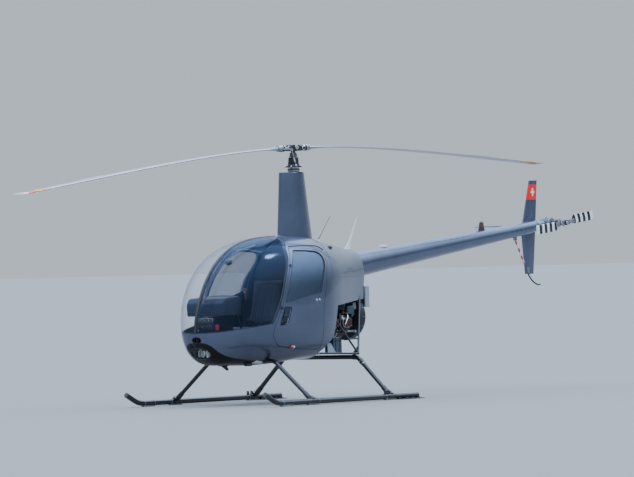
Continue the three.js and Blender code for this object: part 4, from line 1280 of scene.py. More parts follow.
def cone_point(s, angle, lift=0):
    """A point on the tail cone's skin, a share of its way back; angle 0 is its top."""
    axis = at(*CONE_REAR) - at(*CONE_FRONT)
    across = Vector((0, 1, 0))
    rise = axis.cross(across).normalized()
    rise = rise if rise.z > 0 else -rise
    radius = (CONE_R[0] + (CONE_R[1] - CONE_R[0]) * s + lift) / 1000
    facing = rise * math.cos(angle) + across * math.sin(angle)
    return at(*CONE_FRONT) + axis * s + facing * radius, facing


def spinning_tail(piece):
    """Turns a piece that lies along X at the tail hub on to the tail blades' line."""
    piece.data.transform(Matrix.Translation(at(*TAIL_HUB)) @ Matrix.Rotation(TAIL_LINE, 4, "Y"))
    return piece


def upright_foil(z, lead, trail, thick):
    chord = lead - trail
    return [at(lead - a * chord, FIN_Y + u * thick / 2, z) for a, u in FOIL]


class HELICOPTER_OT_tail(bpy.types.Operator):
    """Tail cone with its riveted bays, fins, stabiliser, tail skid and guard rod"""

    bl_idname = "helicopter.tail"
    bl_label = "Tail cone and fins"

    def execute(self, context):
        bays = (0, 0.13, 0.30, 0.47, 0.64, 0.80, 0.94, 1)
        rings, places = [], []
        for k, (a, b) in enumerate(zip(bays, bays[1:])):
            lift = 0 if k % 2 else 0.9
            for s in (a, a + 0.004, b - 0.004, b):
                edge = 0 if s in (a, b) else lift
                rings.append([cone_point(s, -2 * math.pi * j / 72, edge)[0] for j in range(72)])
            count = 26 - 2 * k
            for s in (a + 0.006, b - 0.006):
                places += [cone_point(s, 2 * math.pi * (j + 0.5) / count) for j in range(count)]
            for angle in (math.pi * 0.62, -math.pi * 0.62):
                steps = 15
                places += [cone_point(a + (b - a) * (j + 0.5) / steps, angle) for j in range(steps)]
        ready(skinned(rings), "tail_cone_skin", "paint", "tail_cone", finish="body paint")
        ready(studs(places, 3.2, 1.2), "tail_cone_rivets", "rotor_steel", finish="dull steel")
        self.fins()
        puck = rod((-1468, 0, 1592), (-1468, 0, 1618), 44, 40, 40, 6)
        ready(puck, "receiver_puck", "white_aerial", finish="aerial white")
        base = cone_point((CONE_FRONT[0] - BEACON_X) / (CONE_FRONT[0] - CONE_REAR[0]), 0)[0].z * 1000
        beacon = [
            dress(rod((BEACON_X, 0, base - 10), (BEACON_X, 0, base + 12), 40, 37, 36, 2), "satin black"),
            dress(rod((BEACON_X, 0, base + 12), (BEACON_X, 0, 1842), 33, 24, 36, 6), "beacon lens"),
            dress(rod((BEACON_X, 0, 1838), (BEACON_X, 0, 1848), 20, 14, 24, 2), "satin black"),
        ]
        for k in range(5):
            z = base + 24 + k * 18
            beacon += dressed("beacon lens", hoop((BEACON_X, 0, z), (0, 0, 1), 32.4 - k * 1.7, 1.6, 36, 6))
        ready(beacon, "beacon_lamp", "beacon_red", "beacon")
        return {"FINISHED"}

    def fins(self):
        """Upper and lower fin in one, the stabiliser on the right, the skid and the rod."""
        levels = (
            (1257, -4095, -4249, 8), (1262, -4093, -4251, 20), (1500, -4066, -4277, 23),
            (1790, -4032, -4308, 24), (1800, -4044, -4308, 24), (1812, -4060, -4310, 24),
            (2050, -4131, -4332, 22), (2296, -4203, -4354, 20), (2302, -4205, -4354, 17),
            (2305, -4207, -4352, 8),
        )
        parts = [
            dress(skinned([upright_foil(*row) for row in levels]), "fin paint"),
            dress(block(-4300, -4060, FIN_Y - 13.5, FIN_Y + 13.5, 1780, 1818, 5), "fin paint"),
        ]
        heads = []
        for sign in (1, -1):
            for start, z in ((-4075, 1774), (-4080, 1826)):
                heads += [(at(start - 26 * k, FIN_Y + sign * 12.4, z), (0, sign, 0)) for k in range(9)]
            for k in range(8):
                heads.append((at(-4115, FIN_Y + sign * 9.5, 1275 + 12 * k), (0, sign, 0)))
        parts += dressed("dull steel", studs(heads, 3, 1.2))
        ready(parts, "fins", "paint", "tail_fins")
        rings = []
        for y, lead, trail, thick in (
            (-94, -4062, -4328, 24), (-400, -4062, -4328, 22), (-745, -4063, -4327, 21),
            (-756, -4066, -4325, 16), (-760, -4072, -4320, 6),
        ):
            rings.append([at(lead - a * (lead - trail), y, STAB_Z + u * thick / 2) for a, u in FOIL])
        stab = dress(skinned(rings), "body paint")
        heads = []
        for up in (1, -1):
            heads += [(at(-4136.48, -110 - 45 * k, STAB_Z + up * 10.6), (0, 0, up)) for k in range(14)]
        ready([stab, dress(studs(heads, 3, 1.2), "dull steel")], "stabiliser_skin", "paint", "stabiliser")
        path = [(-4138, FIN_Y, 1330), (-4142, FIN_Y, 1290), (-4160, FIN_Y, 1240), (-4232, FIN_Y, 1174),
                (-4330, FIN_Y, 1130), (-4372, FIN_Y, 1140)]
        skid = [
            dress(tube(path, 9, 34, 3), "gloss black"),
            dress(block(-4160, -4118, FIN_Y - 14, FIN_Y - 9, 1268, 1330, 2), "dull steel"),
            dress(block(-4160, -4118, FIN_Y + 9, FIN_Y + 14, 1268, 1330, 2), "dull steel"),
        ]
        for z in (1282, 1316):
            skid += dressed(
                "bright steel", rod((-4139, FIN_Y - 19, z), (-4139, FIN_Y + 19, z), 5, 5, 6, 0.6)
            )
        ready(skid, "tail_skid_tube", "black_tube", "tail_skid")
        a, b = (-3845, -20, 1640), (-4075, -80.5, 1391)
        guard = [dress(rod(a, b, 11, 11, 24, 2), "banded rod")]
        for p in (a, b):
            guard += dressed(
                "dull steel", rod((p[0], p[1] - 16, p[2]), (p[0], p[1] + 16, p[2]), 10, 10, 12, 1)
            )
        guard += dressed("dull steel", block(-3870, -3820, -30, -8, 1640, 1686, 4))
        ready(guard, "guard_rod_banded", "rod_red", "guard_rod")


class HELICOPTER_OT_tail_rotor(bpy.types.Operator):
    """Tail gear case, the teetering tail hub with its pitch links, and both tail blades"""

    bl_idname = "helicopter.tail_rotor"
    bl_label = "Tail rotor"

    def execute(self, context):
        x, _, z = TAIL_HUB
        case = [
            dress(rod((-4099, 0, 1776), (-4200, 0, 1793), 64, 58, 48, 2), "body paint"),
            dress(rod((-4196, 0, 1792), (-4208, 0, 1794), 63, 63, 48, 2), "dull steel"),
            dress(rod((-4206, 0, 1794), (-4330, 0, 1812), 52, 40, 40, 3), "cast alloy"),
            dress(rod((x, -46, z), (x, 84, z), 58, 54, 40, 6), "cast alloy"),
            dress(rod((x, -54, z), (x, -44, z), 44, 44, 32, 2), "dull steel"),
            dress(rod((x, 82, z), (x, 92, z), 62, 62, 40, 2), "dull steel"),
            dress(rod((x, 90, z), (x, 149, z), 33, 30, 32, 3), "dark steel"),
            dress(block(-4290, -4150, -94, -50, 1774, 1822, 6), "cast alloy"),
            dress(rod((x + 8, 20, z + 52), (x + 8, 20, z + 72), 9, 9, 6, 1), "bright steel"),
            dress(rod((x - 10, 30, z - 58), (x - 10, 30, z - 68), 12, 10, 24, 2), "bright steel"),
        ]
        for k in range(4):
            case += dressed("cast alloy", hoop((x, -20 + 24 * k, z), (0, 1, 0), 57.5, 2.5, 40, 6))
        for k in range(8):
            a = math.pi * k / 4 + 0.3
            p = (x + 52 * math.cos(a), z + 52 * math.sin(a))
            case += dressed("bright steel", rod((p[0], 90, p[1]), (p[0], 98, p[1]), 5, 5, 6))
        ready(case, "tail_gear_case", "bare_alloy", "tail_gearbox")
        self.hub()
        for name, end in (("front", 1), ("rear", -1)):
            self.blade(name, end)
        return {"FINISHED"}

    def hub(self):
        def part(a, b, r, end=None, finish="dark steel", sides=28, soft=1.5):
            piece = rod(a, b, r, end, sides, soft)
            piece.data.transform(Matrix.Translation((-SHIFT, 0, 0)))
            return dress(piece, finish)

        plates = []
        for y in (-19, 11):
            plate = slab(
                [
                    Vector((px / 1000, y / 1000, pz / 1000))
                    for px, pz in (
                        (-92, -16), (-60, -27), (60, -27), (92, -16), (92, 16), (60, 27), (-60, 27),
                        (-92, 16),
                    )
                ],
                (0, 0.008, 0), 1.5,
            )
            plates += dressed("dull steel", plate)
        parts = plates + [
            part((0, -119, 0), (0, 34, 0), 19, 17),
            part((0, -34, 0), (0, 24, 0), 30, 30),
            part((-52, 0, 0), (52, 0, 0), 13, 13, "bright steel"),
            part((0, 24, 0), (0, 40, 0), 20, 17, "bright steel", 6),
            part((0, -100, 0), (0, -84, 0), 44, 44),
            part((0, -82, 0), (0, -64, 0), 33, 33, "dull steel"),
        ]
        for end in (1, -1):
            parts += [
                part((end * 80, -24, 0), (end * 80, 24, 0), 11, 11, "bright steel", 20, 2),
                part((end * 34, -76, end * 20), (end * 70, -66, end * 44), 7, 6, "dull steel", 14),
                part((end * 70, -66, end * 44), (end * 104, -10, end * 46), 5, 5, "bright steel", 12),
                part((end * 62, -72, end * 44), (end * 78, -60, end * 44), 9, 9, "bright steel", 14),
            ]
        ready(spinning_tail(join(*parts)), "tail_hub", "tail_black", "tail_rotor_hub", body="tail_rotor")

    def blade(self, name, end):
        rings = []
        for r, chord, thick in (
            (148, 78, 14), (172, 100, 13.5), (190, 102, 13), (528, 102, 13), (531, 101, 10), (533.5, 98, 4)
        ):
            rings.append(
                [
                    Vector((end * r / 1000, u * thick / 2000, end * (0.3 - a) * chord / 1000))
                    for a, u in FOIL
                ]
            )
        parts = [dress(skinned(rings), "tail blade skin")]
        plate = [(82, -14), (120, -20), (176, -34), (176, 20), (120, 20), (82, 14)]
        for y in (-10, 6):
            root = slab(
                [Vector((end * px / 1000, y / 1000, end * pz / 1000)) for px, pz in plate], (0, 0.004, 0), 1
            )
            parts += dressed("dull steel", root)
        root = slab([Vector((end * px / 1000, -0.006, end * pz / 1000)) for px, pz in
                     ((100, -16), (150, -30), (150, 20), (100, 16))], (0, 0.012, 0), 1)
        parts += dressed("dark steel", root)
        for px, pz in ((118, 8), (118, -12), (158, 8), (158, -20)):
            head = rod((px * end, -13, pz * end), (px * end, 13, pz * end), 4.5, 4.5, 6, 0.6)
            head.data.transform(Matrix.Translation((-SHIFT, 0, 0)))
            parts += dressed("bright steel", head)
        blade = spinning_tail(join(*parts))
        ready(blade, f"tail_rotor_blade_{name}", "tail_black", f"tail_blade_{name}", body="tail_rotor")


class HELICOPTER_OT_gear(bpy.types.Operator):
    """Both skids with shoes, ground plates and lugs, and the cross tubes with their legs"""

    bl_idname = "helicopter.gear"
    bl_label = "Landing gear"

    def execute(self, context):
        for name, foot, elbow_y, elbow_z, radius in GEAR:
            nodes = (f"{name}_cross_tube", f"{name}_leg_left", f"{name}_leg_right")
            path = [(foot, 930, 40), (foot, elbow_y, elbow_z), (foot, -elbow_y, elbow_z), (foot, -930, 40)]
            parts = [dress(tube(path, radius, 55, 5, 8), "gloss black")]
            reach = SKID_Y - elbow_y
            slope = (elbow_z - SKID_Z) / reach
            for _, sign in SIDES:
                def down(out):
                    return (foot, sign * (elbow_y + out), elbow_z - out * slope)
                parts += dressed(
                    "gloss black", rod(down(reach - 105), down(reach - 45), radius + 4, radius + 6, 32, 2)
                )
                y = sign * SKID_Y
                parts += dressed(
                    "gloss black", rod((foot - 70, y, SKID_Z), (foot + 70, y, SKID_Z), 32, 32, 36, 3),
                    rod((foot, y, SKID_Z + 20), (foot, y - sign * 18, SKID_Z + 44), 30, 26, 28, 3),
                )
                if name == "rear":
                    parts += dressed("gloss black", rod(down(28), down(64), radius + 5, radius + 5, 32, 3))
                    parts += dressed("dull steel", rod(down(68), down(76), radius + 3, radius + 3, 32, 1))
                    parts += dressed(
                        "gloss black",
                        rod(
                            down(-2)[:1] + (sign * (elbow_y - 30), elbow_z),
                            (foot, sign * (elbow_y - 66), elbow_z), radius + 4, radius + 4, 32, 3,
                        ),
                    )
                    bolt = down(46)
                    parts += dressed(
                        "bright steel", rod((foot - 34, *bolt[1:]), (foot + 34, *bolt[1:]), 6, 6, 6, 1)
                    )
            ready(parts, f"{name}_gear_tube", "black_tube", *nodes)
        for side, sign in SIDES:
            self.skid(side, sign)
        return {"FINISHED"}

    def skid(self, side, sign):
        y = sign * SKID_Y
        path = [(-806, y, SKID_Z), (1400, y, SKID_Z), (1500, y, 44), (1612, y, 98), (1675, y, 130)]
        parts = [dress(tube(path, SKID_R, 70, 5, 8), "gloss black")]
        tip = Vector((63, 0, 32)).normalized()
        parts += dressed(
            "satin black", rod((1670, y, 127.5), (1675 + tip.x * 3, y, 130 + tip.z * 3), 28.5, 26, 32, 3),
            rod((-810, y, SKID_Z), (-802, y, SKID_Z), 27, 28.5, 32, 2),
        )
        for x0, x1 in ((820, 1000), (-440, -260), (1240, 1420)):
            shoe = block(x0, x1, y - 22, y + 22, 0, 15, 5, 3)
            parts += dressed("dull steel", shoe)
            for x in (x0 + 14, x1 - 14):
                parts += dressed("dull steel", hoop((x, y, SKID_Z), (1, 0, 0), 29, 2.2, 32, 6))
        pad = block(-810, -440, y - 95, y + 95, 0, 8, 2.5)
        for k in range(5):
            for lane in (-62, 62):
                x = -782 + 70 * k
                carve(pad, block(x, x + 46, y + lane - 11, y + lane + 11, -5, 20, 0))
        parts += dressed("satin black", pad)
        for x in (-790, -690, -590, -470):
            parts += dressed("satin black", block(x - 14, x + 14, y - 40, y + 40, 6, 20, 5))
        for k in (-1, 1):
            x = -300 + 30 * k
            lug = slab(
                [
                    at(x - 6, y - 15, 50), at(x - 6, y + 15, 50), at(x - 6, y + 15, 88),
                    at(x - 6, y + 7, 101), at(x - 6, y - 7, 101), at(x - 6, y - 15, 88),
                ],
                (0.012, 0, 0), 1.5,
            )
            carve(lug, rod((x - 20, y, 84), (x + 20, y, 84), 6.5, 6.5, 20))
            parts += dressed("gloss black", lug)
        ready(parts, f"skid_tube_{side}", "black_tube", f"skid_{side}")


# Cabin
CUSHION = ((217, 702), (747, 702), (750, 768), (700, 784), (232, 778))
BACK = ((186, 797), (278, 797), (283, 860), (192, 1283), (106, 1283), (97, 1268))
SEAT_Y = (31, 424)
FLOOR_Z = 493.5
COMPASS_X, COMPASS_Z = 1096, 1478
BAR_X, BAR_Z, PEDAL_X, PEDAL_Z = 1180, 520, 1220, 655


def swell(pad, most, floor):
    """Lets a pad fill like a stuffed cover, by no more than most, in millimetres, and rest on floor."""
    modify(pad, "REMESH", mode="VOXEL", voxel_size=0.0075)
    start = [v.co.copy() for v in pad.data.vertices]
    pick(pad)
    cover = pad.modifiers.new("Cloth", "CLOTH")
    cover.settings.use_pressure = True
    cover.settings.uniform_pressure_force = 4
    cover.settings.effector_weights.gravity = 0
    for frame_number in range(1, 21):
        bpy.context.scene.frame_set(frame_number)
    bpy.ops.object.modifier_apply(modifier=cover.name)
    bpy.context.scene.frame_set(1)
    for vertex, p in zip(pad.data.vertices, start):
        step = vertex.co - p
        if step.length > most / 1000:
            vertex.co = p + step.normalized() * most / 1000
        vertex.co = floor(vertex.co)
    return modify(pad, "SUBSURF", levels=1)


def press_seams(pad, near, depth=5, width=9):
    """Draws a pad in along its sewn lines; near gives a point's distance from the nearest one."""
    normals = [v.normal.copy() for v in pad.data.vertices]
    for vertex, normal in zip(pad.data.vertices, normals):
        share = max(0, 1 - near(vertex.co, normal) / (width / 1000))
        vertex.co -= normal * (depth / 1000) * share * share * (3 - 2 * share)


def line_gap(x, z, a, b):
    """How far [x, z] lies ahead of the line from a to b, in metres."""
    a, b = at(a[0], 0, a[1]), at(b[0], 0, b[1])
    along = (b - a).normalized()
    return (x - a.x) * along.z - (z - a.z) * along.x


def bow_point(t, inset):
    """A point inside the centre bow, at station t, an inset in from its outer face."""
    along = (skin(t + 0.05, 0) - skin(t - 0.05, 0)).normalized()
    return tuple(skin(t, 0) + Vector((-along.z, 0, along.x)) * inset)


class HELICOPTER_OT_seats(bpy.types.Operator):
    """Stuffed seat cushions and backs with sewn channels and piped edges"""

    bl_idname = "helicopter.seats"
    bl_label = "Seats"

    def execute(self, context):
        low = at(0, 0, 701.2).z
        flat = lambda p: Vector((p.x, p.y, max(p.z, low)))
        cushion = side_slab(soften(CUSHION, 24), *SEAT_Y)
        swell(soften_edges(cushion, 20, 3, 50), 14, flat)
        mid, half = sum(SEAT_Y) / 2000, (SEAT_Y[1] - SEAT_Y[0]) / 2000

        def over_cushion(p, normal):
            if normal.z < 0.4:
                return 1
            lanes = [abs(p.y - mid - half * k) for k in (-0.5, 0, 0.5)] if p.x > at(300, 0, 0).x else [1]
            return min(lanes + [abs(p.x - at(x, 0, 0).x) for x in (300, 660)])

        press_seams(cushion, over_cushion)

        def clear_of_wall(p):
            gap = line_gap(p.x, p.z, (190, 793), (98, 1275))
            return Vector((p.x - min(gap, 0), p.y, max(p.z, at(0, 0, 795.5).z)))

        back = side_slab(soften(BACK, 26), *SEAT_Y)
        swell(soften_edges(back, 20, 3, 50), 13, clear_of_wall)

        def over_back(p, normal):
            if normal.x < 0.4:
                return 1
            lanes = [abs(p.y - mid - half * k) for k in (-0.5, 0, 0.5)] if p.z > at(0, 0, 880).z else [1]
            return min(lanes + [abs(p.z - at(0, 0, z).z) for z in (880, 1225)])

        press_seams(back, over_back)
        for part, pad in (("cushion", cushion), ("back", back)):
            for (side, _), piece in zip(SIDES, (pad, other_side(pad))):
                ready(
                    piece, f"{part}_pad_{side}", "seat_cloth", f"seat_{part}_{side}", finish="seat cloth",
                    angle=60,
                )
        for side, sign in SIDES:
            welts = []
            for outline in (CUSHION, BACK):
                for y in (SEAT_Y[0] + 3, SEAT_Y[1] - 3):
                    ring = soften(grow(outline, 1), 26, 5)
                    path = [(x, sign * y, z) for x, z in ring + ring[:1]]
                    welts += dressed("seat cloth", tube(path, 3.2, 1, 2, 1))
            ready(welts, f"seat_piping_{side}", "seat_cloth")
        return {"FINISHED"}


class HELICOPTER_OT_cabin(bpy.types.Operator):
    """Cabin floor, rear wall lining, seat base with its levers, and the frame inside the windshield"""

    bl_idname = "helicopter.cabin"
    bl_label = "Cabin"

    def execute(self, context):
        for node, finish in (
            ("cabin_floor", "cabin carpet"), ("firewall", "firewall sheet"), ("aft_bulkhead", "bare sheet")
        ):
            frame["nodes"][node].material_slots[0].material = FINISHES[finish]
        self.lining()
        self.base()
        self.brace()
        return {"FINISHED"}

    def lining(self):
        """Quilted wall covers behind the seats, with a row of snap studs round each."""
        foot, top = at(230, 0, 520), at(80, 0, 1262)
        for side, sign in SIDES:
            covers, places = [], []
            for low, high, far in ((0.02, 0.34, 395), (0.36, 0.68, 470), (0.70, 0.98, 455)):
                a, b = foot.lerp(top, low), foot.lerp(top, high)
                points = [
                    Vector((p.x, sign * y / 1000, p.z)) for p, y in ((a, 12), (a, far), (b, far), (b, 12))
                ]
                covers += dressed("dark lining", slab(points, (0.009, 0, 0.002), 4))
                for p, y in [(a.lerp(b, s), y) for s in (0.06, 0.35, 0.65, 0.94) for y in (24, far - 14)]:
                    places.append((Vector((p.x + 0.009, sign * y / 1000, p.z + 0.002)), (1, 0, 0.2)))
            covers += dressed("dull steel", studs(places, 5.5, 2, 12))
            ready(covers, f"wall_lining_{side}", "trim")

    def base(self):
        """Moulded seat base on the floor, with a front step, hinges, and the two levers."""
        shell = hull(46, 0)
        outline = [
            (247, FLOOR_Z), (698, FLOOR_Z), (704, 560), (741, 690), (739, 699.5), (208, 699.5), (210, 660)
        ]
        base = side_slab(outline, -429, 429, 6)
        carve(base, shell, "INTERSECT")
        for sign in (1, -1):
            pocket = side_slab(
                soften(((640, 540), (760, 540), (760, 662), (654, 662)), 10), sign * 40, sign * 380
            )
            carve(base, pocket)
        parts = [dress(base, "moulded trim")]
        for sign in (1, -1):
            panel_face = block(628, 640, sign * 210 - 165, sign * 210 + 165, 546, 656, 3)
            parts += dressed("dark lining", panel_face)
            for y in (sign * 130, sign * 290):
                parts += dressed("dull steel", block(719, 742, y - 22, y + 22, 688, 700.5, 2))
        lever = [(400, 0, 690), (428, 0, 722), (640, 0, 812), (796, 0, 876)]
        parts += [
            dress(tube(lever, 10, 40, 4), "satin black"),
            dress(rod((690, 0, 833), (800, 0, 878), 15, 14, 24, 4), "rubber"),
            dress(rod((800, 0, 878), (806, 0, 880.5), 9, 6, 16, 1), "satin black"),
            dress(rod((393, 0, 700), (418, 0, 706), 26, 20, 20, 3), "rubber"),
        ]
        side = [(420, 420, 640), (420, 447, 640), (560, 447, 720), (788, 447, 849)]
        parts += [
            dress(tube(side, 10, 24, 4), "satin black"),
            dress(rod((680, 447, 788), (790, 447, 850), 15, 14, 24, 4), "rubber"),
        ]
        ready(parts, "seat_base", "trim", "seat_box")

    def brace(self):
        """Thin tube that follows the centre bow on the inside and carries the compass."""
        path = [bow_point(t, 78) for t in (3.1, 3.6, 4.1, 4.6, 5.1, 5.6, 6.2, 6.8, 7.3)]
        parts = [dress(tube(path, 9.5, 120, 4, 4), "satin black")]
        for t in (3.3, 5.0, 7.2):
            parts += dressed("satin black", rod(bow_point(t, 78), bow_point(t, 20), 5, 5, 12))
        x, _, z = bow_point(5.15, 78)
        parts += [
            dress(rod((x, 0, z), (COMPASS_X, 0, 1512), 5, 5, 12), "satin black"),
            dress(ball((COMPASS_X, 0, COMPASS_Z), 36, 28, (1, 1, 1.05)), "dial black"),
            dress(rod((COMPASS_X, 0, 1506), (COMPASS_X, 0, 1520), 20, 14, 24, 3), "satin black"),
            dress(rod((1086, 0, COMPASS_Z), (1058.5, 0, COMPASS_Z), 20, 20, 28, 1), "dial white"),
            dress(hoop((1059, 0, COMPASS_Z), (1, 0, 0), 22, 4, 28, 8), "satin black"),
        ]
        ready(parts, "windshield_brace_and_compass", "bow_black")


class HELICOPTER_OT_console(bpy.types.Operator):
    """Instrument console with its dials, radios and forward tray"""

    bl_idname = "helicopter.console"
    bl_label = "Console"

    def execute(self, context):
        form = hull(40, 0)
        stand = [(1123, FLOOR_Z), (1398, FLOOR_Z), (1476, 700), (1468, 928), (1206, 928)]
        pedestal = side_slab(stand, -124, 124, 12)
        carve(pedestal, form, "INTERSECT", True)
        hood = side_slab(
            soften(((1196, 928), (1478, 926), (1488, 1058), (1440, 1108), (1228, 1128), (1196, 1100)), 16),
            -248, 248, 0,
        )
        soften_edges(hood, 26, 5, 50)
        carve(hood, form, "INTERSECT")
        face = block(1150, 1199, -232, 232, 938, 1092, 10)
        carve(hood, face)
        parts = [dress(pedestal, "moulded trim"), dress(hood, "moulded trim")]
        parts += dressed("satin black", block(1198, 1206, -236, 236, 934, 1096, 1))
        brow = tube(
            [(1204, -236, 1102), (1192, -180, 1124), (1190, 0, 1129), (1192, 180, 1124), (1204, 236, 1102)],
            7, 60, 4,
        )
        parts += dressed("rubber", brow)
        parts += self.dials() + self.radios() + self.tray()
        ready(parts, "console_and_dials", "trim", "instrument_console")
        return {"FINISHED"}

    def dials(self):
        """Flat dials with bezels, ticks and needles on the face that the crew sees."""
        parts, at_x = [], 1198
        places = [(y, 1048, 38) for y in (-184, -92, 0, 92, 184)]
        places += [(y, 968, 23) for y in (-192, -136, -80, 80, 136, 192)]
        for y, z, r in places:
            parts += dressed("dial black", rod((at_x, y, z), (at_x - 3, y, z), r, r, 36, 1))
            parts += dressed("satin black", hoop((at_x - 3, y, z), (1, 0, 0), r, 2.6, 36, 8))
            tick = dress(
                rod((at_x - 3.4, y, z + r * 0.72), (at_x - 3.4, y, z + r * 0.9), 0.9, 0.9, 4), "dial white"
            )
            count = 12 if r > 30 else 7
            turns = [
                about((at_x, y, z), "X", math.radians(-135 + 270 * k / (count - 1))) for k in range(count)
            ]
            parts.append(repeat(tick, turns))
            needle = dress(
                rod((at_x - 4, y, z - r * 0.15), (at_x - 4, y, z + r * 0.66), 1.4, 0.5, 6), "dial white"
            )
            needle.data.transform(about((at_x, y, z), "X", math.radians((y * 7 + z) % 200 - 120)))
            parts.append(needle)
            parts += dressed("satin black", rod((at_x - 3, y, z), (at_x - 5.5, y, z), 3, 2.4, 12))
        for k in range(5):
            lamp = rod((at_x, -52 + 26 * k, 970), (at_x - 5, -52 + 26 * k, 970), 6, 5, 16, 1)
            parts += dressed(("lens red", "dial white", "lens red", "lens green", "dial white")[k], lamp)
        return parts

    def radios(self):
        """Stack of plain radio faces with windows and knobs, on the sloping aft face."""
        parts = []
        for k, (low, high) in enumerate(((862, 906), (812, 856), (762, 806), (694, 756))):
            x = 1206 - (928 - high) * 0.19
            faceplate = block(x - 12, x + 30, -80, 80, low, high, 2)
            parts += dressed("satin black", faceplate)
            parts += dressed("dial black", block(x - 13, x, -46, 46, low + 12, high - 12, 1))
            for y in (-64, 64):
                z = (low + high) / 2
                parts += dressed("satin black", rod((x - 10, y, z), (x - 26, y, z), 9, 7.5, 20, 1.5))
                parts += dressed("dull steel", rod((x - 26, y, z), (x - 32, y, z), 4.5, 4, 14, 0.8))
            for y in (-30, -10, 10, 30):
                parts += dressed("moulded trim", block(x - 15, x - 10, y - 6, y + 6, low + 3, low + 9, 1))
        for k in range(6):
            y = -70 + 28 * k
            parts += dressed("bright steel", rod((1176, y, 668), (1152, y, 672), 3, 2.4, 12))
            parts += dressed("dull steel", rod((1172, y, 668), (1166, y, 668), 7, 7, 6))
        return parts

    def tray(self):
        """Forward tray with four small housings that show through the windshield."""
        parts = [dress(block(1400, 1464, -150, 104, 776, 918, 6), "satin black")]
        for y in (-140, -76, -12, 40):
            for z in (786, 852):
                width = 54 if y < 40 else 58
                parts += dressed("dull steel", block(1462, 1470, y, y + width - 4, z, z + 56, 2))
                parts += dressed("dial black", block(1464, 1472, y + 5, y + width - 9, z + 5, z + 51, 2))
        parts += dressed("dial white", block(1466, 1474, -138, -96, 776, 784, 2))
        parts += dressed(
            "grip red", block(1466, 1474, -20, 30, 914, 921, 2), block(1420, 1462, 106, 138, 782, 838, 6)
        )
        return parts


class HELICOPTER_OT_controls(bpy.types.Operator):
    """Cyclic stick with its cross bar and grips, and two pairs of pedals"""

    bl_idname = "helicopter.controls"
    bl_label = "Cyclic and pedals"

    def execute(self, context):
        top = (1085, 0, 1108)
        parts = [
            dress(tube([(802, 0, 498), (858, 0, 690), (985, 0, 925), top], 13, 70, 4), "satin black"),
            dress(rod((800, 0, FLOOR_Z + 0.1), (802, 0, 512), 44, 38, 32, 3), "dull steel"),
            dress(rod((801, 0, 508), (815, 0, 560), 34, 18, 28, 5), "rubber"),
            dress(block(1070, 1100, -17, 17, 1092, 1126, 5), "dull steel"),
            dress(rod((1085, -22, 1108), (1085, 22, 1108), 12, 12, 24, 1), "bright steel"),
        ]
        for k in range(3):
            parts += dressed(
                "rubber", hoop((804 + 4 * k, 0, 520 + 14 * k), (0.26, 0, 1), 30 - 5 * k, 4, 28, 8)
            )
        for x, y, z in ((1072, 200, 1186), (1100, -200, 1036)):
            sign = 1 if y > 0 else -1
            parts += dressed("satin black", rod(top, (x, y, z), 9.5, 9.5, 20, 1))
            grip = [(x + 4, y, z + 6), (x, y, z - 10), (x - 10, y, z - 60), (x - 11, y, z - 100)]
            parts += dressed(
                "rubber", tube(grip, 15, 16, 5, 4), ball((x + 2, y, z + 4), 17, 24, (1.1, 1, 0.8))
            )
            parts += dressed(
                "grip red", rod((x + 2, y, z + 12), (x + 3, y, z + 20), 6, 5, 16, 1),
                rod((x, y + sign * 12, z), (x, y + sign * 20, z), 9, 8, 16, 1),
            )
            parts += dressed("dull steel", block(x + 8, x + 20, y - 5, y + 5, z - 34, z - 14, 2))
            for k in range(4):
                parts += dressed("rubber", hoop((x - 8, y, z - 44 - 12 * k), (0.15, 0, 1), 15, 2, 20, 6))
        ready(parts, "cyclic_and_grips", "bow_black", "cyclic_stick")
        for side, sign in SIDES:
            self.pedals(side, sign)
        return {"FINISHED"}

    def pedals(self, side, sign):
        parts = [
            dress(rod((BAR_X, sign * 160, BAR_Z), (BAR_X, sign * 258, BAR_Z), 10, 10, 20, 1), "dull steel"),
            dress(rod((BAR_X, sign * 165, 494), (BAR_X, sign * 165, BAR_Z), 12, 12, 20, 1), "dull steel"),
            dress(block(1150, 1210, sign * 165 - 26, sign * 165 + 26, FLOOR_Z + 0.1, 500, 2), "dull steel"),
        ]
        for y in (sign * 165, sign * 252):
            arm = [(BAR_X, y, BAR_Z), (1196, y, 560), (1214, y, 610), (PEDAL_X, y, 652)]
            parts += dressed("satin black", tube(arm, 8.5, 30, 4))
            parts += dressed(
                "rubber", rod((PEDAL_X, y - 36, PEDAL_Z), (PEDAL_X, y + 36, PEDAL_Z), 12, 12, 24, 2)
            )
            for k in range(7):
                parts += dressed(
                    "rubber", hoop((PEDAL_X, y - 30 + 10 * k, PEDAL_Z), (0, 1, 0), 12, 1.8, 24, 6)
                )
            for end in (-37, 37):
                parts += dressed(
                    "bright steel",
                    rod(
                        (PEDAL_X, y + end - 1.5, PEDAL_Z), (PEDAL_X, y + end + 1.5, PEDAL_Z), 13.5, 13.5,
                        24, 0.6,
                    ),
                )
            parts += dressed("dull steel", ball((BAR_X, y, BAR_Z), 15, 18))
        ready(parts, f"pedal_pair_{side}", "bow_black", f"pedals_{side}")


# Engine bay
CORNER, FORE_FOOT, FORE_TOP, AFT_TOP = (-375, 503, 485), (210.3, 431, 505), (62, 256, 1228), (-837, 176, 1190)
CRANK_Z, HEAD_Z, UPPER_Z = 830, 810, 1150
PIPE_Y, PIPE_Z, MUFFLER_Z = 255, 690, 680
CYLINDERS = (-205, -430)


def flip(p, sign):
    return p[0], sign * p[1], p[2]


def on_way(a, b, share):
    return tuple(p + (q - p) * share for p, q in zip(a, b))


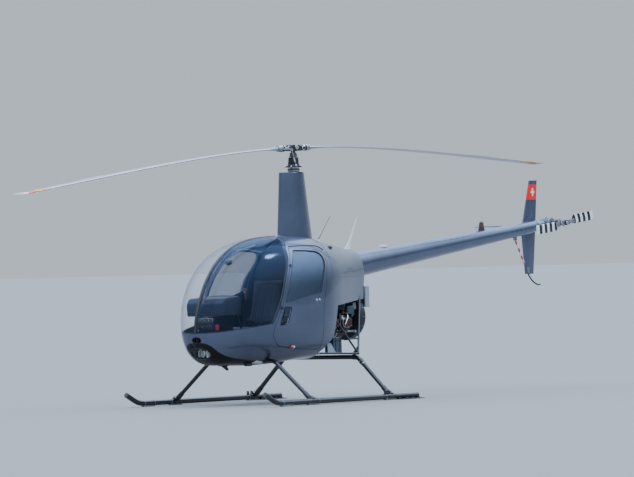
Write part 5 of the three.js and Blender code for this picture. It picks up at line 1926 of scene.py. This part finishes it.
def oval(x, z, half_x, half_z, power=2.6, count=36):
    """An oval outline with fuller corners, of [x, z]."""
    outline = []
    for k in range(count):
        c, s = math.cos(2 * math.pi * k / count), math.sin(2 * math.pi * k / count)
        outline.append((x + half_x * math.copysign(abs(c) ** (2 / power), c),
                        z + half_z * math.copysign(abs(s) ** (2 / power), s)))
    return outline


class HELICOPTER_OT_bay(bpy.types.Operator):
    """Tube frame of the open bay with its welded corners, the battery box and gusset plate"""

    bl_idname = "helicopter.bay"
    bl_label = "Engine bay frame"

    def execute(self, context):
        strut_fore = on_way(CORNER, FORE_TOP, (640 - 485) / (1228 - 485))
        strut_aft = on_way(CORNER, AFT_TOP, (640 - 485) / (1190 - 485))
        parts = []
        for _, sign in SIDES:
            corner = flip(CORNER, sign)
            for end in (FORE_FOOT, FORE_TOP, AFT_TOP):
                end = flip(end, sign)
                parts += dressed(
                    "frame paint", rod(corner, end, 10.5, 10.5, 28),
                    rod(on_way(corner, end, 0.01), on_way(corner, end, 0.06), 12.2, 11.2, 28, 1),
                )
                parts += dressed("dull steel", rod(on_way(corner, end, 0.97), end, 14, 14, 28, 2))
            parts += dressed(
                "frame paint", ball(corner, 15, 28), hoop(corner, (0, 1, 0), 13, 2.5, 28, 8),
                rod(flip(strut_fore, sign), flip(strut_aft, sign), 8, 8, 24),
            )
            for p in (strut_fore, strut_aft):
                parts += dressed("frame paint", ball(flip(p, sign), 12.2, 20))
            inner = corner[0], sign * 494, 492
            web = slab(
                [at(*inner), at(-300, sign * 486, 492), at(-396, sign * 474, 560)], (0, sign * 0.003, 0),
                0.8,
            )
            parts += dressed("frame paint", web)
        for p in (strut_fore, strut_aft):
            parts += dressed("frame paint", rod(flip(p, -1), p, 9.8, 9.8, 24))
        parts += self.battery()
        for _, sign in SIDES:
            plate = [
                at(60, sign * 449, 500), at(-58, sign * 465, 498), at(36, sign * 470, 606),
                at(86, sign * 464, 606),
            ]
            parts += dressed("plate blue grey", slab(plate, (0, sign * 0.003, 0), 0.8))
            for x, y, z in ((46, 453, 516), (-32, 462, 512), (50, 467, 590)):
                parts += dressed(
                    "bright steel", rod((x, sign * (y - 5), z), (x, sign * (y + 7), z), 5, 5, 6, 0.6)
                )
        ready(parts, "bay_frame_and_battery", "black_tube", "engine_frame")
        return {"FINISHED"}

    def battery(self):
        """Battery box on the lower tube, with its lid, straps, posts and leads."""
        parts = [
            dress(block(-146, -18, 345, 463, 490.5, 628, 5), "battery box"),
            dress(block(-144, -20, 347, 461, 630, 664, 8, 3), "battery box"),
            dress(block(-149, -15, 342, 466, 622, 632, 2), "satin black"),
            dress(block(-147, -17, 344, 464, 489, 494, 1), "dull steel"),
            dress(block(-158, -145, 350, 462, 491, 664, 3), "gloss black"),
        ]
        for x in (-119, -53):
            strap = tube([(x, 466, 494), (x, 466, 668), (x, 342, 668), (x, 342, 494)], 2.2, 8, 2, 3)
            parts += dressed("satin black", strap)
            parts += dressed("bright steel", rod((x, 404, 664), (x, 404, 677), 6, 6, 6, 0.8))
        for y in (366, 442):
            parts += dressed("dull steel", rod((-37, y, 660), (-37, y, 673), 9, 8, 20, 1))
        parts += dressed(
            "rubber", tube([(-37, 366, 672), (-37, 362, 696), (-41, 316, 716), (-65, 176, 724)], 6, 30, 3),
            tube([(-37, 442, 672), (-35, 446, 690), (-9, 450, 696), (51, 440, 640)], 6, 24, 3),
        )
        return parts


class HELICOPTER_OT_engine(bpy.types.Operator):
    """Flat four-cylinder engine: ribbed case, finned cylinders, heads, covers, pipes and leads"""

    bl_idname = "helicopter.engine"
    bl_label = "Engine"

    def execute(self, context):
        parts = self.case()
        bank = self.bank()
        parts += [bank, other_side(bank)]
        ready(parts, "engine_and_pipes", "engine_alloy", "engine_block")
        self.exhaust()
        return {"FINISHED"}

    def case(self):
        parts = [
            dress(block(-600, -112, -96, 96, 716, 946, 16, 4), "engine grey"),
            dress(block(-560, -150, -132, 132, 652, 722, 18, 4), "engine grey"),
            dress(block(-470, -240, -62, 62, 940, 982, 14, 4), "cast alloy"),
            dress(rod((-619, 0, CRANK_Z), (-596, 0, CRANK_Z), 96, 104, 48, 4), "cast alloy"),
            dress(rod((-112, 0, CRANK_Z), (-92, 0, CRANK_Z), 120, 116, 48, 3), "dull steel"),
            dress(rod((-100, 0, CRANK_Z), (-90.5, 0, CRANK_Z), 48, 44, 32, 3), "cast alloy"),
            dress(block(-604, -500, 100, 148, 866, 984, 10, 3), "battery box"),
            dress(block(-604, -500, -148, -100, 866, 984, 10, 3), "battery box"),
            dress(block(-560, -470, -146, -96, 690, 770, 20, 4), "cast alloy"),
            dress(rod((-620, 190, 905), (-520, 190, 905), 34, 34, 32, 4), "battery box"),
            dress(rod((-520, 190, 905), (-500, 190, 905), 26, 20, 28, 3), "dull steel"),
            dress(block(-612, -520, 140, 250, 868, 876, 2), "cast alloy"),
            dress(block(-618, -512, 214, 272, 876, 984, 12, 3), "battery box"),
            dress(rod((-470, 0, 968), (-240, 0, 968), 18, 18, 24, 3), "dull steel"),
        ]
        rib = dress(block(-578, -572, -101, 101, 724, 940, 2), "engine grey")
        parts.append(repeat(rib, [moved(62 * k, 0, 0) for k in range(8)]))
        rib = dress(block(-548, -542, -136, 136, 662, 716, 2), "engine grey")
        parts.append(repeat(rib, [moved(47 * k, 0, 0) for k in range(9)]))
        bolt = dress(rod((-590, -104, 726), (-590, -96, 726), 6, 6, 6, 0.8), "bright steel")
        parts.append(repeat(bolt, [moved(62 * k, 200 * side, 0) for k in range(8) for side in (0, 1)]))
        bolt = dress(rod((-112, 0, CRANK_Z + 100), (-88, 0, CRANK_Z + 100), 5, 5, 6), "bright steel")
        turns = [about((-112, 0, CRANK_Z), "X", math.radians(30 * k + 15)) for k in range(12)]
        parts.append(repeat(bolt, turns))
        bolt = dress(rod((-512, 262, 890), (-506, 262, 890), 6, 6, 6), "bright steel")
        parts.append(repeat(bolt, [moved(0, 0, 26 * k) for k in range(4)]))
        return parts

    def bank(self):
        """Two cylinders of the left side, with all that hangs on them."""
        x = CYLINDERS[0]
        one = [
            dress(rod((x, 92, HEAD_Z), (x, 262, HEAD_Z), 58, 58, 40), "engine grey"),
            dress(rod((x, 92, HEAD_Z), (x, 112, HEAD_Z), 74, 70, 40, 2), "engine grey"),
            dress(side_slab(oval(x, HEAD_Z, 66, 66, 3.2), 252, 318, 3), "engine grey"),
            dress(side_slab(oval(x, HEAD_Z, 73, 53), 318, 322, 0.8), "baffle cream"),
            dress(side_slab(oval(x, HEAD_Z, 68, 48), 321, 335, 5), "cover red brown"),
            dress(side_slab(oval(x, HEAD_Z, 40, 24), 333, 337.5, 1.5), "cover red brown"),
        ]
        fin = dress(rod((x, 120, HEAD_Z), (x, 123, HEAD_Z), 76, 76, 40, 0.6), "engine grey")
        one.append(repeat(fin, [moved(0, 10.5 * k, 0) for k in range(13)]))
        fin = dress(side_slab(oval(x, HEAD_Z, 78, 76, 3.4), 262, 264.5, 0), "engine grey")
        one.append(repeat(fin, [moved(0, 8.4 * k, 0) for k in range(6)]))
        screw = dress(rod((x, 334, HEAD_Z + 44), (x, 340, HEAD_Z + 44), 4.4, 4.4, 6), "bright steel")
        spots = [moved(52 * c, 0, -44 + 34 * s) for c, s in ((1, 1), (-1, 1), (1, -1), (-1, -1))]
        one.append(repeat(screw, spots + [moved(0, 0, 0), moved(0, 0, -88)]))
        for dx in (-24, 24):
            one += dressed("bright steel", rod((x + dx, 88, 748), (x + dx, 300, 756), 10, 10, 20, 1))
        for dx, dz in ((30, 74), (-30, -74)):
            one += dressed(
                "bright steel",
                rod((x + dx, 286, HEAD_Z + dz * 0.8), (x + dx, 292, HEAD_Z + dz * 1.1), 10, 9, 6, 1),
            )
            one += dressed(
                "rubber", rod((x + dx, 290, HEAD_Z + dz), (x + dx, 296, HEAD_Z + dz * 1.3), 7, 6, 16, 1)
            )
        first = join(*one)
        second = twin(first)
        second.data.transform(moved(CYLINDERS[1] - CYLINDERS[0], 0, 0))
        parts = [first, second]
        shroud = [at(x0, 128, z) for x0, z in ((-112, 900), (-520, 900), (-520, 903), (-112, 903))]
        parts += dressed("satin black", slab(shroud, (0, 0.196, 0), 0.8))
        between = [(-326, 742), (-309, 742), (-301, 898), (-334, 898)]
        parts += dressed("satin black", side_slab(between, 132, 322, 1.5))
        for x0 in (-505, -128):
            parts += dressed("satin black", block(x0 - 2, x0 + 2, 130, 322, 770, 902, 1))
        for x0 in CYLINDERS:
            pipe = [
                (x0 - 30, 60, 676), (x0 - 34, 180, 664), (x0 - 36, 236, 690), (x0 - 36, 282, 742),
                (x0 - 36, 286, 772),
            ]
            parts += dressed("cast alloy", tube(pipe, 16, 50, 4))
            parts += dressed("rubber", rod((x0 - 35, 150, 668), (x0 - 35, 172, 665), 19, 19, 28, 1))
            top = HEAD_Z + 96
            lead = [
                (x0 + 30, 294, top), (x0 + 26, 300, top + 26), (x0 - 40, 220, top + 34), (-500, 150, 905)
            ]
            parts += dressed("hose brown", tube(lead, 4, 40, 3))
        s_pipe = [(-355, 306, 884), (-362, 312, 850), (-400, 316, 826), (-430, 312, 800), (-434, 306, 772)]
        parts += dressed("baffle cream", tube(s_pipe, 13, 30, 4))
        for end, near in ((0, 1), (-1, -2)):
            a, b = s_pipe[end], s_pipe[near]
            parts += dressed("dull steel", rod(on_way(a, b, 0.15), on_way(a, b, 0.45), 15.5, 15.5, 24, 1))
        return join(*parts)

    def exhaust(self):
        """Left run crosses below the engine to the right, where both end in the muffler."""
        parts = []
        for _, sign in SIDES:
            y = sign * PIPE_Y
            for x in CYLINDERS:
                parts += dressed(
                    "heat browned",
                    tube([(x, y, 730), (x, y, 712), (x + 14, y, 694), (x + 50, y, PIPE_Z)], 17.5, 20, 5),
                )
                parts += dressed("dull steel", block(x - 30, x + 30, y - 24, y + 24, 723, 731, 3))
        run = [
            (-440, PIPE_Y, PIPE_Z), (-150, PIPE_Y, PIPE_Z), (-150, PIPE_Y, 615), (-150, -PIPE_Y, 615),
            (-150, -PIPE_Y, PIPE_Z), (-545, -PIPE_Y, PIPE_Z),
        ]
        parts += dressed(
            "heat browned", tube(run, 21.5, 34, 5),
            rod((-452, PIPE_Y, PIPE_Z), (-436, PIPE_Y, PIPE_Z), 15, 21.5, 32, 3),
        )
        for x, sign in ((-300, 1), (-300, -1), (-490, -1)):
            parts += dressed(
                "dull steel",
                rod((x - 9, sign * PIPE_Y, PIPE_Z), (x + 9, sign * PIPE_Y, PIPE_Z), 24, 24, 32, 2),
            )
        parts += dressed(
            "heat browned", rod((-705, -PIPE_Y, MUFFLER_Z), (-545, -PIPE_Y, MUFFLER_Z), 45, 45, 48, 2),
            rod((-720, -PIPE_Y, MUFFLER_Z), (-704, -PIPE_Y, MUFFLER_Z), 30, 45, 48, 4),
            rod((-546, -PIPE_Y, MUFFLER_Z), (-530, -PIPE_Y, MUFFLER_Z), 45, 30, 48, 4),
        )
        for x in (-690, -625, -560):
            parts += dressed(
                "dull steel", rod((x - 4, -PIPE_Y, MUFFLER_Z), (x + 4, -PIPE_Y, MUFFLER_Z), 46, 46, 48, 1)
            )
        pipe = tube([(-650, -PIPE_Y, 650), (-650, -PIPE_Y, 606), (-653, -257, 562)], 21, 30, 5)
        carve(pipe, rod((-650, -PIPE_Y, 620), (-654, -258, 550), 18.5, 18.5, 32))
        parts += dressed("heat browned", pipe)
        ready(parts, "exhaust_and_muffler", "exhaust_rust", "exhaust")


class HELICOPTER_OT_drive(bpy.types.Operator):
    """Pulleys with their belts, the cooling fan in its scroll, and the panel behind the bay"""

    bl_idname = "helicopter.drive"
    bl_label = "Belt drive and fan"

    def execute(self, context):
        self.belts()
        self.fan()
        self.panel()
        return {"FINISHED"}

    def belts(self):
        parts = [dress(rod((-619, 0, CRANK_Z), (-886, 0, CRANK_Z), 20, 20, 32, 2), "dull steel")]
        for z, r in ((CRANK_Z, 90), (UPPER_Z, 102)):
            wheel = [dress(rod((-759, 0, z), (-701, 0, z), r - 14, r - 14, 48, 2), "cast alloy")]
            for x in (-759, -744, -730, -716, -704):
                wheel += dressed("cast alloy", rod((x, 0, z), (x + 4, 0, z), r, r, 56, 1))
            wheel += dressed("dark steel", rod((-764, 0, z), (-696, 0, z), 34, 34, 32, 3))
            parts += wheel
        for x in (-748, -719):
            outer = self.loop(x, 88, 100, 14)
            carve(outer, self.loop(x - 3, 78, 90, 20))
            parts += dressed("rubber", outer)
        parts += [
            dress(rod((-880, 0, UPPER_Z), (-640, 0, UPPER_Z), 19, 19, 32, 2), "dull steel"),
            dress(rod((-812, 0, UPPER_Z), (-790, 0, UPPER_Z), 44, 44, 40, 3), "dark steel"),
            dress(rod((-650, 0, UPPER_Z), (-632, 0, UPPER_Z), 52, 46, 6, 5), "rubber"),
            dress(rod((-690, 0, UPPER_Z), (-664, 0, UPPER_Z), 60, 50, 40, 5), "cast alloy"),
            dress(rod((-775, 0, 1040), (-775, 0, 930), 17, 17, 28, 2), "dull steel"),
            dress(rod((-775, 0, 930), (-775, 0, 880), 22, 26, 28, 3), "dark steel"),
            dress(rod((-775, 0, 1040), (-775, 0, 1110), 11, 11, 24, 1), "bright steel"),
        ]
        bolt = dress(rod((-696, 0, UPPER_Z + 44), (-660, 0, UPPER_Z + 44), 5, 5, 6), "bright steel")
        parts.append(repeat(bolt, [about((-690, 0, UPPER_Z), "X", math.radians(60 * k)) for k in range(6)]))
        ready(parts, "belts_and_pulleys", "belt_black", "belt_drive")

    def loop(self, x, low, high, wide):
        """A solid round both pulleys, this wide along X."""
        points = []
        for centre, radius, first in ((UPPER_Z, high, 0), (CRANK_Z, low, math.pi)):
            for k in range(25):
                a = first + math.pi * k / 24
                points.append(at(x, radius * math.cos(a), centre + radius * math.sin(a)))
        return slab(points, (wide / 1000, 0, 0))

    def fan(self):
        y, z = -48, 870
        drum = rod((-899, y, z), (-801, y, z), 254, 254, 96)
        soften_edges(drum, 22, 4, 50)
        carve(drum, block(-920, -780, -400, 400, 1043, 1300, 0))
        inner = rod((-888, y, z), (-812, y, z), 243, 243, 96)
        soften_edges(inner, 18, 3, 50)
        carve(inner, block(-920, -780, -400, 400, 1034, 1300, 0))
        carve(drum, inner)
        carve(drum, rod((-910, 0, CRANK_Z), (-860, 0, CRANK_Z), 125, 125, 72))
        carve(drum, rod((-850, 0, CRANK_Z), (-790, 0, CRANK_Z), 32, 32, 48))
        parts = [dress(drum, "satin black")]
        lip = hoop((-896, 0, CRANK_Z), (1, 0, 0), 128, 4, 72, 10)
        parts += dressed("satin black", lip)
        seam = hoop((-850, y, z), (1, 0, 0), 253, 3.6, 96, 8)
        carve(seam, block(-870, -830, -400, 400, 1041, 1300, 0))
        parts += dressed("satin black", seam)
        clip = dress(block(-858, -842, y - 5, y + 5, z - 259, z - 252, 1.5), "dull steel")
        turns = [about((-850, y, z), "X", math.radians(a)) for a in range(-110, 111, 22)]
        parts.append(repeat(clip, turns))
        rib = dress(block(-806, -799, y - 2, y + 2, z - 240, z - 130, 1), "satin black")
        parts.append(repeat(rib, [about((-800, y, z), "X", math.radians(a)) for a in range(-120, 121, 30)]))
        for _, sign in SIDES:
            parts += dressed(
                "dull steel", rod((-801, sign * 125, 715), (-620.5, sign * 125, 715), 11, 11, 24, 1)
            )
            parts += dressed(
                "bright steel", rod((-801, sign * 125, 715), (-790, sign * 125, 715), 20, 18, 6, 2)
            )
        parts += [
            dress(rod((-884, 0, CRANK_Z), (-822, 0, CRANK_Z), 40, 52, 40, 4), "cast alloy"),
            dress(rod((-829, 0, CRANK_Z), (-824, 0, CRANK_Z), 112, 112, 64, 1), "cast alloy"),
            dress(hoop((-872, 0, CRANK_Z), (1, 0, 0), 108, 3, 64, 8), "cast alloy"),
        ]
        vane = [
            at(-872, -2, CRANK_Z + 48), at(-828, -2, CRANK_Z + 48), at(-828, -2, CRANK_Z + 108),
            at(-872, -2, CRANK_Z + 108),
        ]
        vane = dress(slab(vane, (0, 0.003, 0), 0.5), "cast alloy")
        vane.data.transform(about((-850, 0, CRANK_Z + 78), "Z", math.radians(14)))
        parts.append(
            repeat(vane, [about((-850, 0, CRANK_Z), "X", 2 * math.pi * k / 18) for k in range(18)])
        )
        parts += dressed("bare sheet", block(-912, -899, 104, 150, 800, 880, 4))
        ready(parts, "fan_and_scroll", "tail_black", "fan_scroll")

    def panel(self):
        """Box-shaped duct behind the bay, with a rolled lip below and fasteners."""
        pan = block(-980, -901, -188, 188, 966, 1185, 7, 4)
        carve(pan, block(-976, -890, -183, 183, 940, 1180, 5))
        parts = [dress(pan, "bare grey")]
        parts += dressed("bare grey", block(-984, -901, -190, 190, 962.5, 968, 1))
        carve(parts[-1], block(-976, -890, -183, 183, 940, 1000, 0))
        parts += dressed("bare grey", block(-984, -976, -190, 190, 1180, 1187, 2))
        for sign in (1, -1):
            parts += dressed(
                "dull steel", block(-912, -902, sign * 189 - 1.5, sign * 189 + 1, 970, 1180, 0.6)
            )
        heads = [
            (at(x, sign * 188, z), (0, sign, 0))
            for sign in (1, -1) for x in (-968, -918) for z in range(985, 1180, 32)
        ]
        heads += [(at(-980, y, z), (-1, 0, 0)) for y in range(-172, 173, 43) for z in (980, 1172)]
        parts += dressed("dull steel", studs(heads, 3, 1.2))
        for z in (1010, 1050, 1090, 1130):
            parts += dressed("bare grey", block(-982.5, -978, -140, 140, z, z + 8, 2))
        ready(parts, "rear_duct", "engine_alloy", "rear_panel")
        bracket = [
            dress(
                slab(
                    [at(-660, 206, 935), at(-722, 206, 950), at(-715, 206, 1018), at(-668, 206, 1010)],
                    (0, 0.004, 0), 1,
                ),
                "cast alloy",
            ),
            dress(
                slab(
                    [at(-722, 150, 1014), at(-660, 150, 1008), at(-660, 208, 1008), at(-722, 208, 1014)],
                    (0, 0, 0.004), 1,
                ),
                "cast alloy",
            ),
        ]
        for x, z in ((-676, 950), (-708, 962), (-700, 1004)):
            bracket += dressed("bright steel", rod((x, 204, z), (x, 214, z), 4.5, 4.5, 6, 0.6))
        silver = tube(
            [(-446, 262, 922), (-436, 312, 900), (-412, 345, 868), (-384, 350, 828), (-366, 345, 790)], 8.5,
            26, 4,
        )
        bracket += dressed("bright steel", silver)
        bracket += dressed("dull steel", rod((-690, 130, 975), (-690, 206, 975), 9, 9, 20, 1))
        ready(bracket, "baffle_bracket", "engine_alloy")


class HELICOPTER_OT_aerials(bpy.types.Operator):
    """Dark whip aerial, white rod aerial, and the two fuel caps on the top cowling"""

    bl_idname = "helicopter.aerials"
    bl_label = "Aerials and caps"

    def execute(self, context):
        top = hull(0, 0)
        parts = [
            dress(rod((-373, 0, 1640), (-373, 0, 1696), 18, 12, 32, 3), "aerial white"),
            dress(rod((-373, 0, 1694), (-376, 0, 1704), 8, 6, 24, 1), "satin black"),
            dress(rod((-374, 0, 1682), (-583, 0, 1935), 4.2, 2.2, 16, 1), "satin black"),
            dress(ball((-583, 0, 1935), 3.5, 14), "satin black"),
        ]
        ready(parts, "whip_aerial_dark", "bow_black", "whip_aerial")
        a, b = (-830, 0, 1533), (-1037, 0, 1922)
        rings = []
        for s, wide in ((0.06, 17), (0.2, 15.5), (0.5, 12), (0.8, 8), (0.97, 5.4), (0.995, 4), (1, 1.6)):
            p = on_way(a, b, s)
            rings.append(
                [
                    at(
                        p[0] + wide * 1.12 * math.cos(t), 0.5 * wide * math.sin(t),
                        p[2] + wide * 0.45 * math.cos(t),
                    )
                    for t in [2 * math.pi * k / 28 for k in range(28)]
                ]
            )
        white = skinned(rings)
        foot = dress(rod(on_way(a, b, 0.02), on_way(a, b, 0.16), 17, 13, 28, 3), "aerial white")
        web = dress(slab([at(-792, -7, 1560), at(-912, -7, 1556), at(-905, -7, 1664), at(-882, -7, 1660)],
                         (0, 0.014, 0), 3), "aerial white")
        ready([dress(white, "aerial white"), foot, web], "white_aerial_rod", "white_aerial",
              "white_aerial")
        caps = []
        for x, y in ((-480, -40), (-250, 250)):
            place, _ = under_skin(top, x, y, True)
            z = place.z * 1000
            caps += dressed("satin black", rod((x, y, z - 14), (x, y, z + 9), 34, 32, 40, 3))
            caps += dressed("dull steel", block(x - 26, x + 26, y - 5, y + 5, z + 7, z + 16, 3))
        bpy.data.objects.remove(top)
        ready(caps, "fuel_caps", "trim")
        return {"FINISHED"}


class HELICOPTER_OT_stage(bpy.types.Operator):
    """Pale floor, soft light and the camera at the photograph's viewing angle"""

    bl_idname = "helicopter.stage"
    bl_label = "Stage"

    def execute(self, context):
        setting = context.scene.helicopter_stage
        bpy.ops.mesh.primitive_circle_add(
            vertices=96, radius=600, fill_type="NGON", location=(0, 0, -0.001)
        )
        floor = settle()
        floor.name = "floor"
        pale = Finish("pale floor", setting.floor, 0.85)
        pale.set(
            "Base Color",
            pale.blend(pale.noise(0.35, 3) * 0.2, pale.colour, tuple(c * 0.85 for c in pale.colour)),
        )
        floor.data.materials.append(pale.material)
        world = bpy.data.worlds.new("soft sky")
        context.scene.world = world
        world.use_nodes = True
        dome = Nodes(world.node_tree)
        sky = world.node_tree.nodes["Background"]
        ray = dome.node("TexCoord", out="Generated")
        ahead, aside, height = (dome.node("SeparateXYZ", {}, {"Vector": ray}, out=axis) for axis in "XYZ")
        shade = dome.step(ahead, -0.3, -0.85) * dome.step(aside, 0.0, 0.45) * dome.step(height, 0.45, 0.1)
        dome.feed(
            sky.inputs["Color"],
            dome.blend(dome.step(height, 0.08, 0.8), (*setting.horizon, 1), (*setting.sky, 1)),
        )
        dome.feed(
            sky.inputs["Strength"],
            (dome.step(height, 0.12, 0.9) * (setting.sky_strength - 1) + 1) * (1 - shade * 0.6),
        )
        bpy.ops.object.light_add(type="SUN", rotation=(math.radians(36), 0, math.radians(setting.sun_turn)))
        sun = context.object.data
        sun.energy, sun.angle, sun.color = setting.sun_strength, math.radians(8), (0.96, 0.98, 1.0)
        bpy.ops.object.camera_add(location=at(38067.5, 31614.7, 1472.3))
        camera = context.object
        right = Vector((-0.63523801, 0.77187555, -0.02609209))
        up = Vector((-0.01302238, 0.02307447, 0.99964893))
        back = Vector((0.77220663, 0.63535478, -0.00460612))
        turn = Matrix((right, up, back)).transposed()
        camera.rotation_mode = "QUATERNION"
        camera.rotation_quaternion = turn.to_quaternion()
        camera.data.lens, camera.data.sensor_width = 267.95, 36
        camera.data.clip_start, camera.data.clip_end = 0.5, 2000
        context.scene.camera = camera
        return {"FINISHED"}


class HELICOPTER_PG_colours(bpy.types.PropertyGroup):
    """Colours that a user would change"""

    paint: bpy.props.FloatVectorProperty(
        name="Body paint", description="Metallic paint of the body and tail",
        subtype="COLOR", size=3, min=0, max=1, default=(0.083, 0.107, 0.170))
    cloth: bpy.props.FloatVectorProperty(
        name="Seat cloth", description="Colour of the seat covers",
        subtype="COLOR", size=3, min=0, max=1, default=(0.011, 0.017, 0.035))


class HELICOPTER_PG_stage(bpy.types.PropertyGroup):
    """Floor and light of the stage"""

    floor: bpy.props.FloatVectorProperty(
        name="Floor", description="Colour of the floor",
        subtype="COLOR", size=3, min=0, max=1, default=(0.262, 0.244, 0.222))
    horizon: bpy.props.FloatVectorProperty(
        name="Horizon", description="Colour of the soft light near the floor",
        subtype="COLOR", size=3, min=0, max=1, default=(0.56, 0.63, 0.71))
    sky: bpy.props.FloatVectorProperty(
        name="Sky", description="Colour of the soft light overhead",
        subtype="COLOR", size=3, min=0, max=1, default=(0.54, 0.71, 1.0))
    sky_strength: bpy.props.FloatProperty(
        name="Sky strength", description="How much brighter than the horizon the light overhead is",
        default=4.3, min=1,
    )
    sun_strength: bpy.props.FloatProperty(
        name="Key strength", description="How bright the key light is", default=0.8, min=0)
    sun_turn: bpy.props.FloatProperty(
        name="Key direction", description="Turn of the key light about the upright, in degrees",
        default=-118,
    )


class HELICOPTER_PT_sidebar(bpy.types.Panel):
    """Lists every step, to run one at a time"""

    bl_label = "Helicopter"
    bl_idname = "HELICOPTER_PT_sidebar"
    bl_space_type = "VIEW_3D"
    bl_region_type = "UI"
    bl_category = "Helicopter"

    def draw(self, context):
        for group in (context.scene.helicopter_colours, context.scene.helicopter_stage):
            for key in group.__annotations__:
                self.layout.prop(group, key)
        for step in STEPS:
            self.layout.operator(step.bl_idname)


GROUPS = (HELICOPTER_PG_colours, HELICOPTER_PG_stage)


def register():
    for kind in (*GROUPS, *STEPS, HELICOPTER_PT_sidebar):
        bpy.utils.register_class(kind)
    bpy.types.Scene.helicopter_colours = bpy.props.PointerProperty(type=HELICOPTER_PG_colours)
    bpy.types.Scene.helicopter_stage = bpy.props.PointerProperty(type=HELICOPTER_PG_stage)


def unregister():
    del bpy.types.Scene.helicopter_stage
    del bpy.types.Scene.helicopter_colours
    for kind in reversed((*GROUPS, *STEPS, HELICOPTER_PT_sidebar)):
        bpy.utils.unregister_class(kind)


def main():
    """Builds everything in order."""
    register()
    make_finishes()
    for step in STEPS:
        getattr(bpy.ops.helicopter, step.bl_idname.split(".")[1])()
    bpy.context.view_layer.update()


STEPS = (
    HELICOPTER_OT_stage, HELICOPTER_OT_body, HELICOPTER_OT_glazing, HELICOPTER_OT_doors,
    HELICOPTER_OT_rotor, HELICOPTER_OT_fairing, HELICOPTER_OT_tail, HELICOPTER_OT_tail_rotor,
    HELICOPTER_OT_gear, HELICOPTER_OT_seats, HELICOPTER_OT_cabin, HELICOPTER_OT_console,
    HELICOPTER_OT_controls, HELICOPTER_OT_bay, HELICOPTER_OT_engine, HELICOPTER_OT_drive,
    HELICOPTER_OT_aerials,
)


if __name__ == "__main__":
    main()
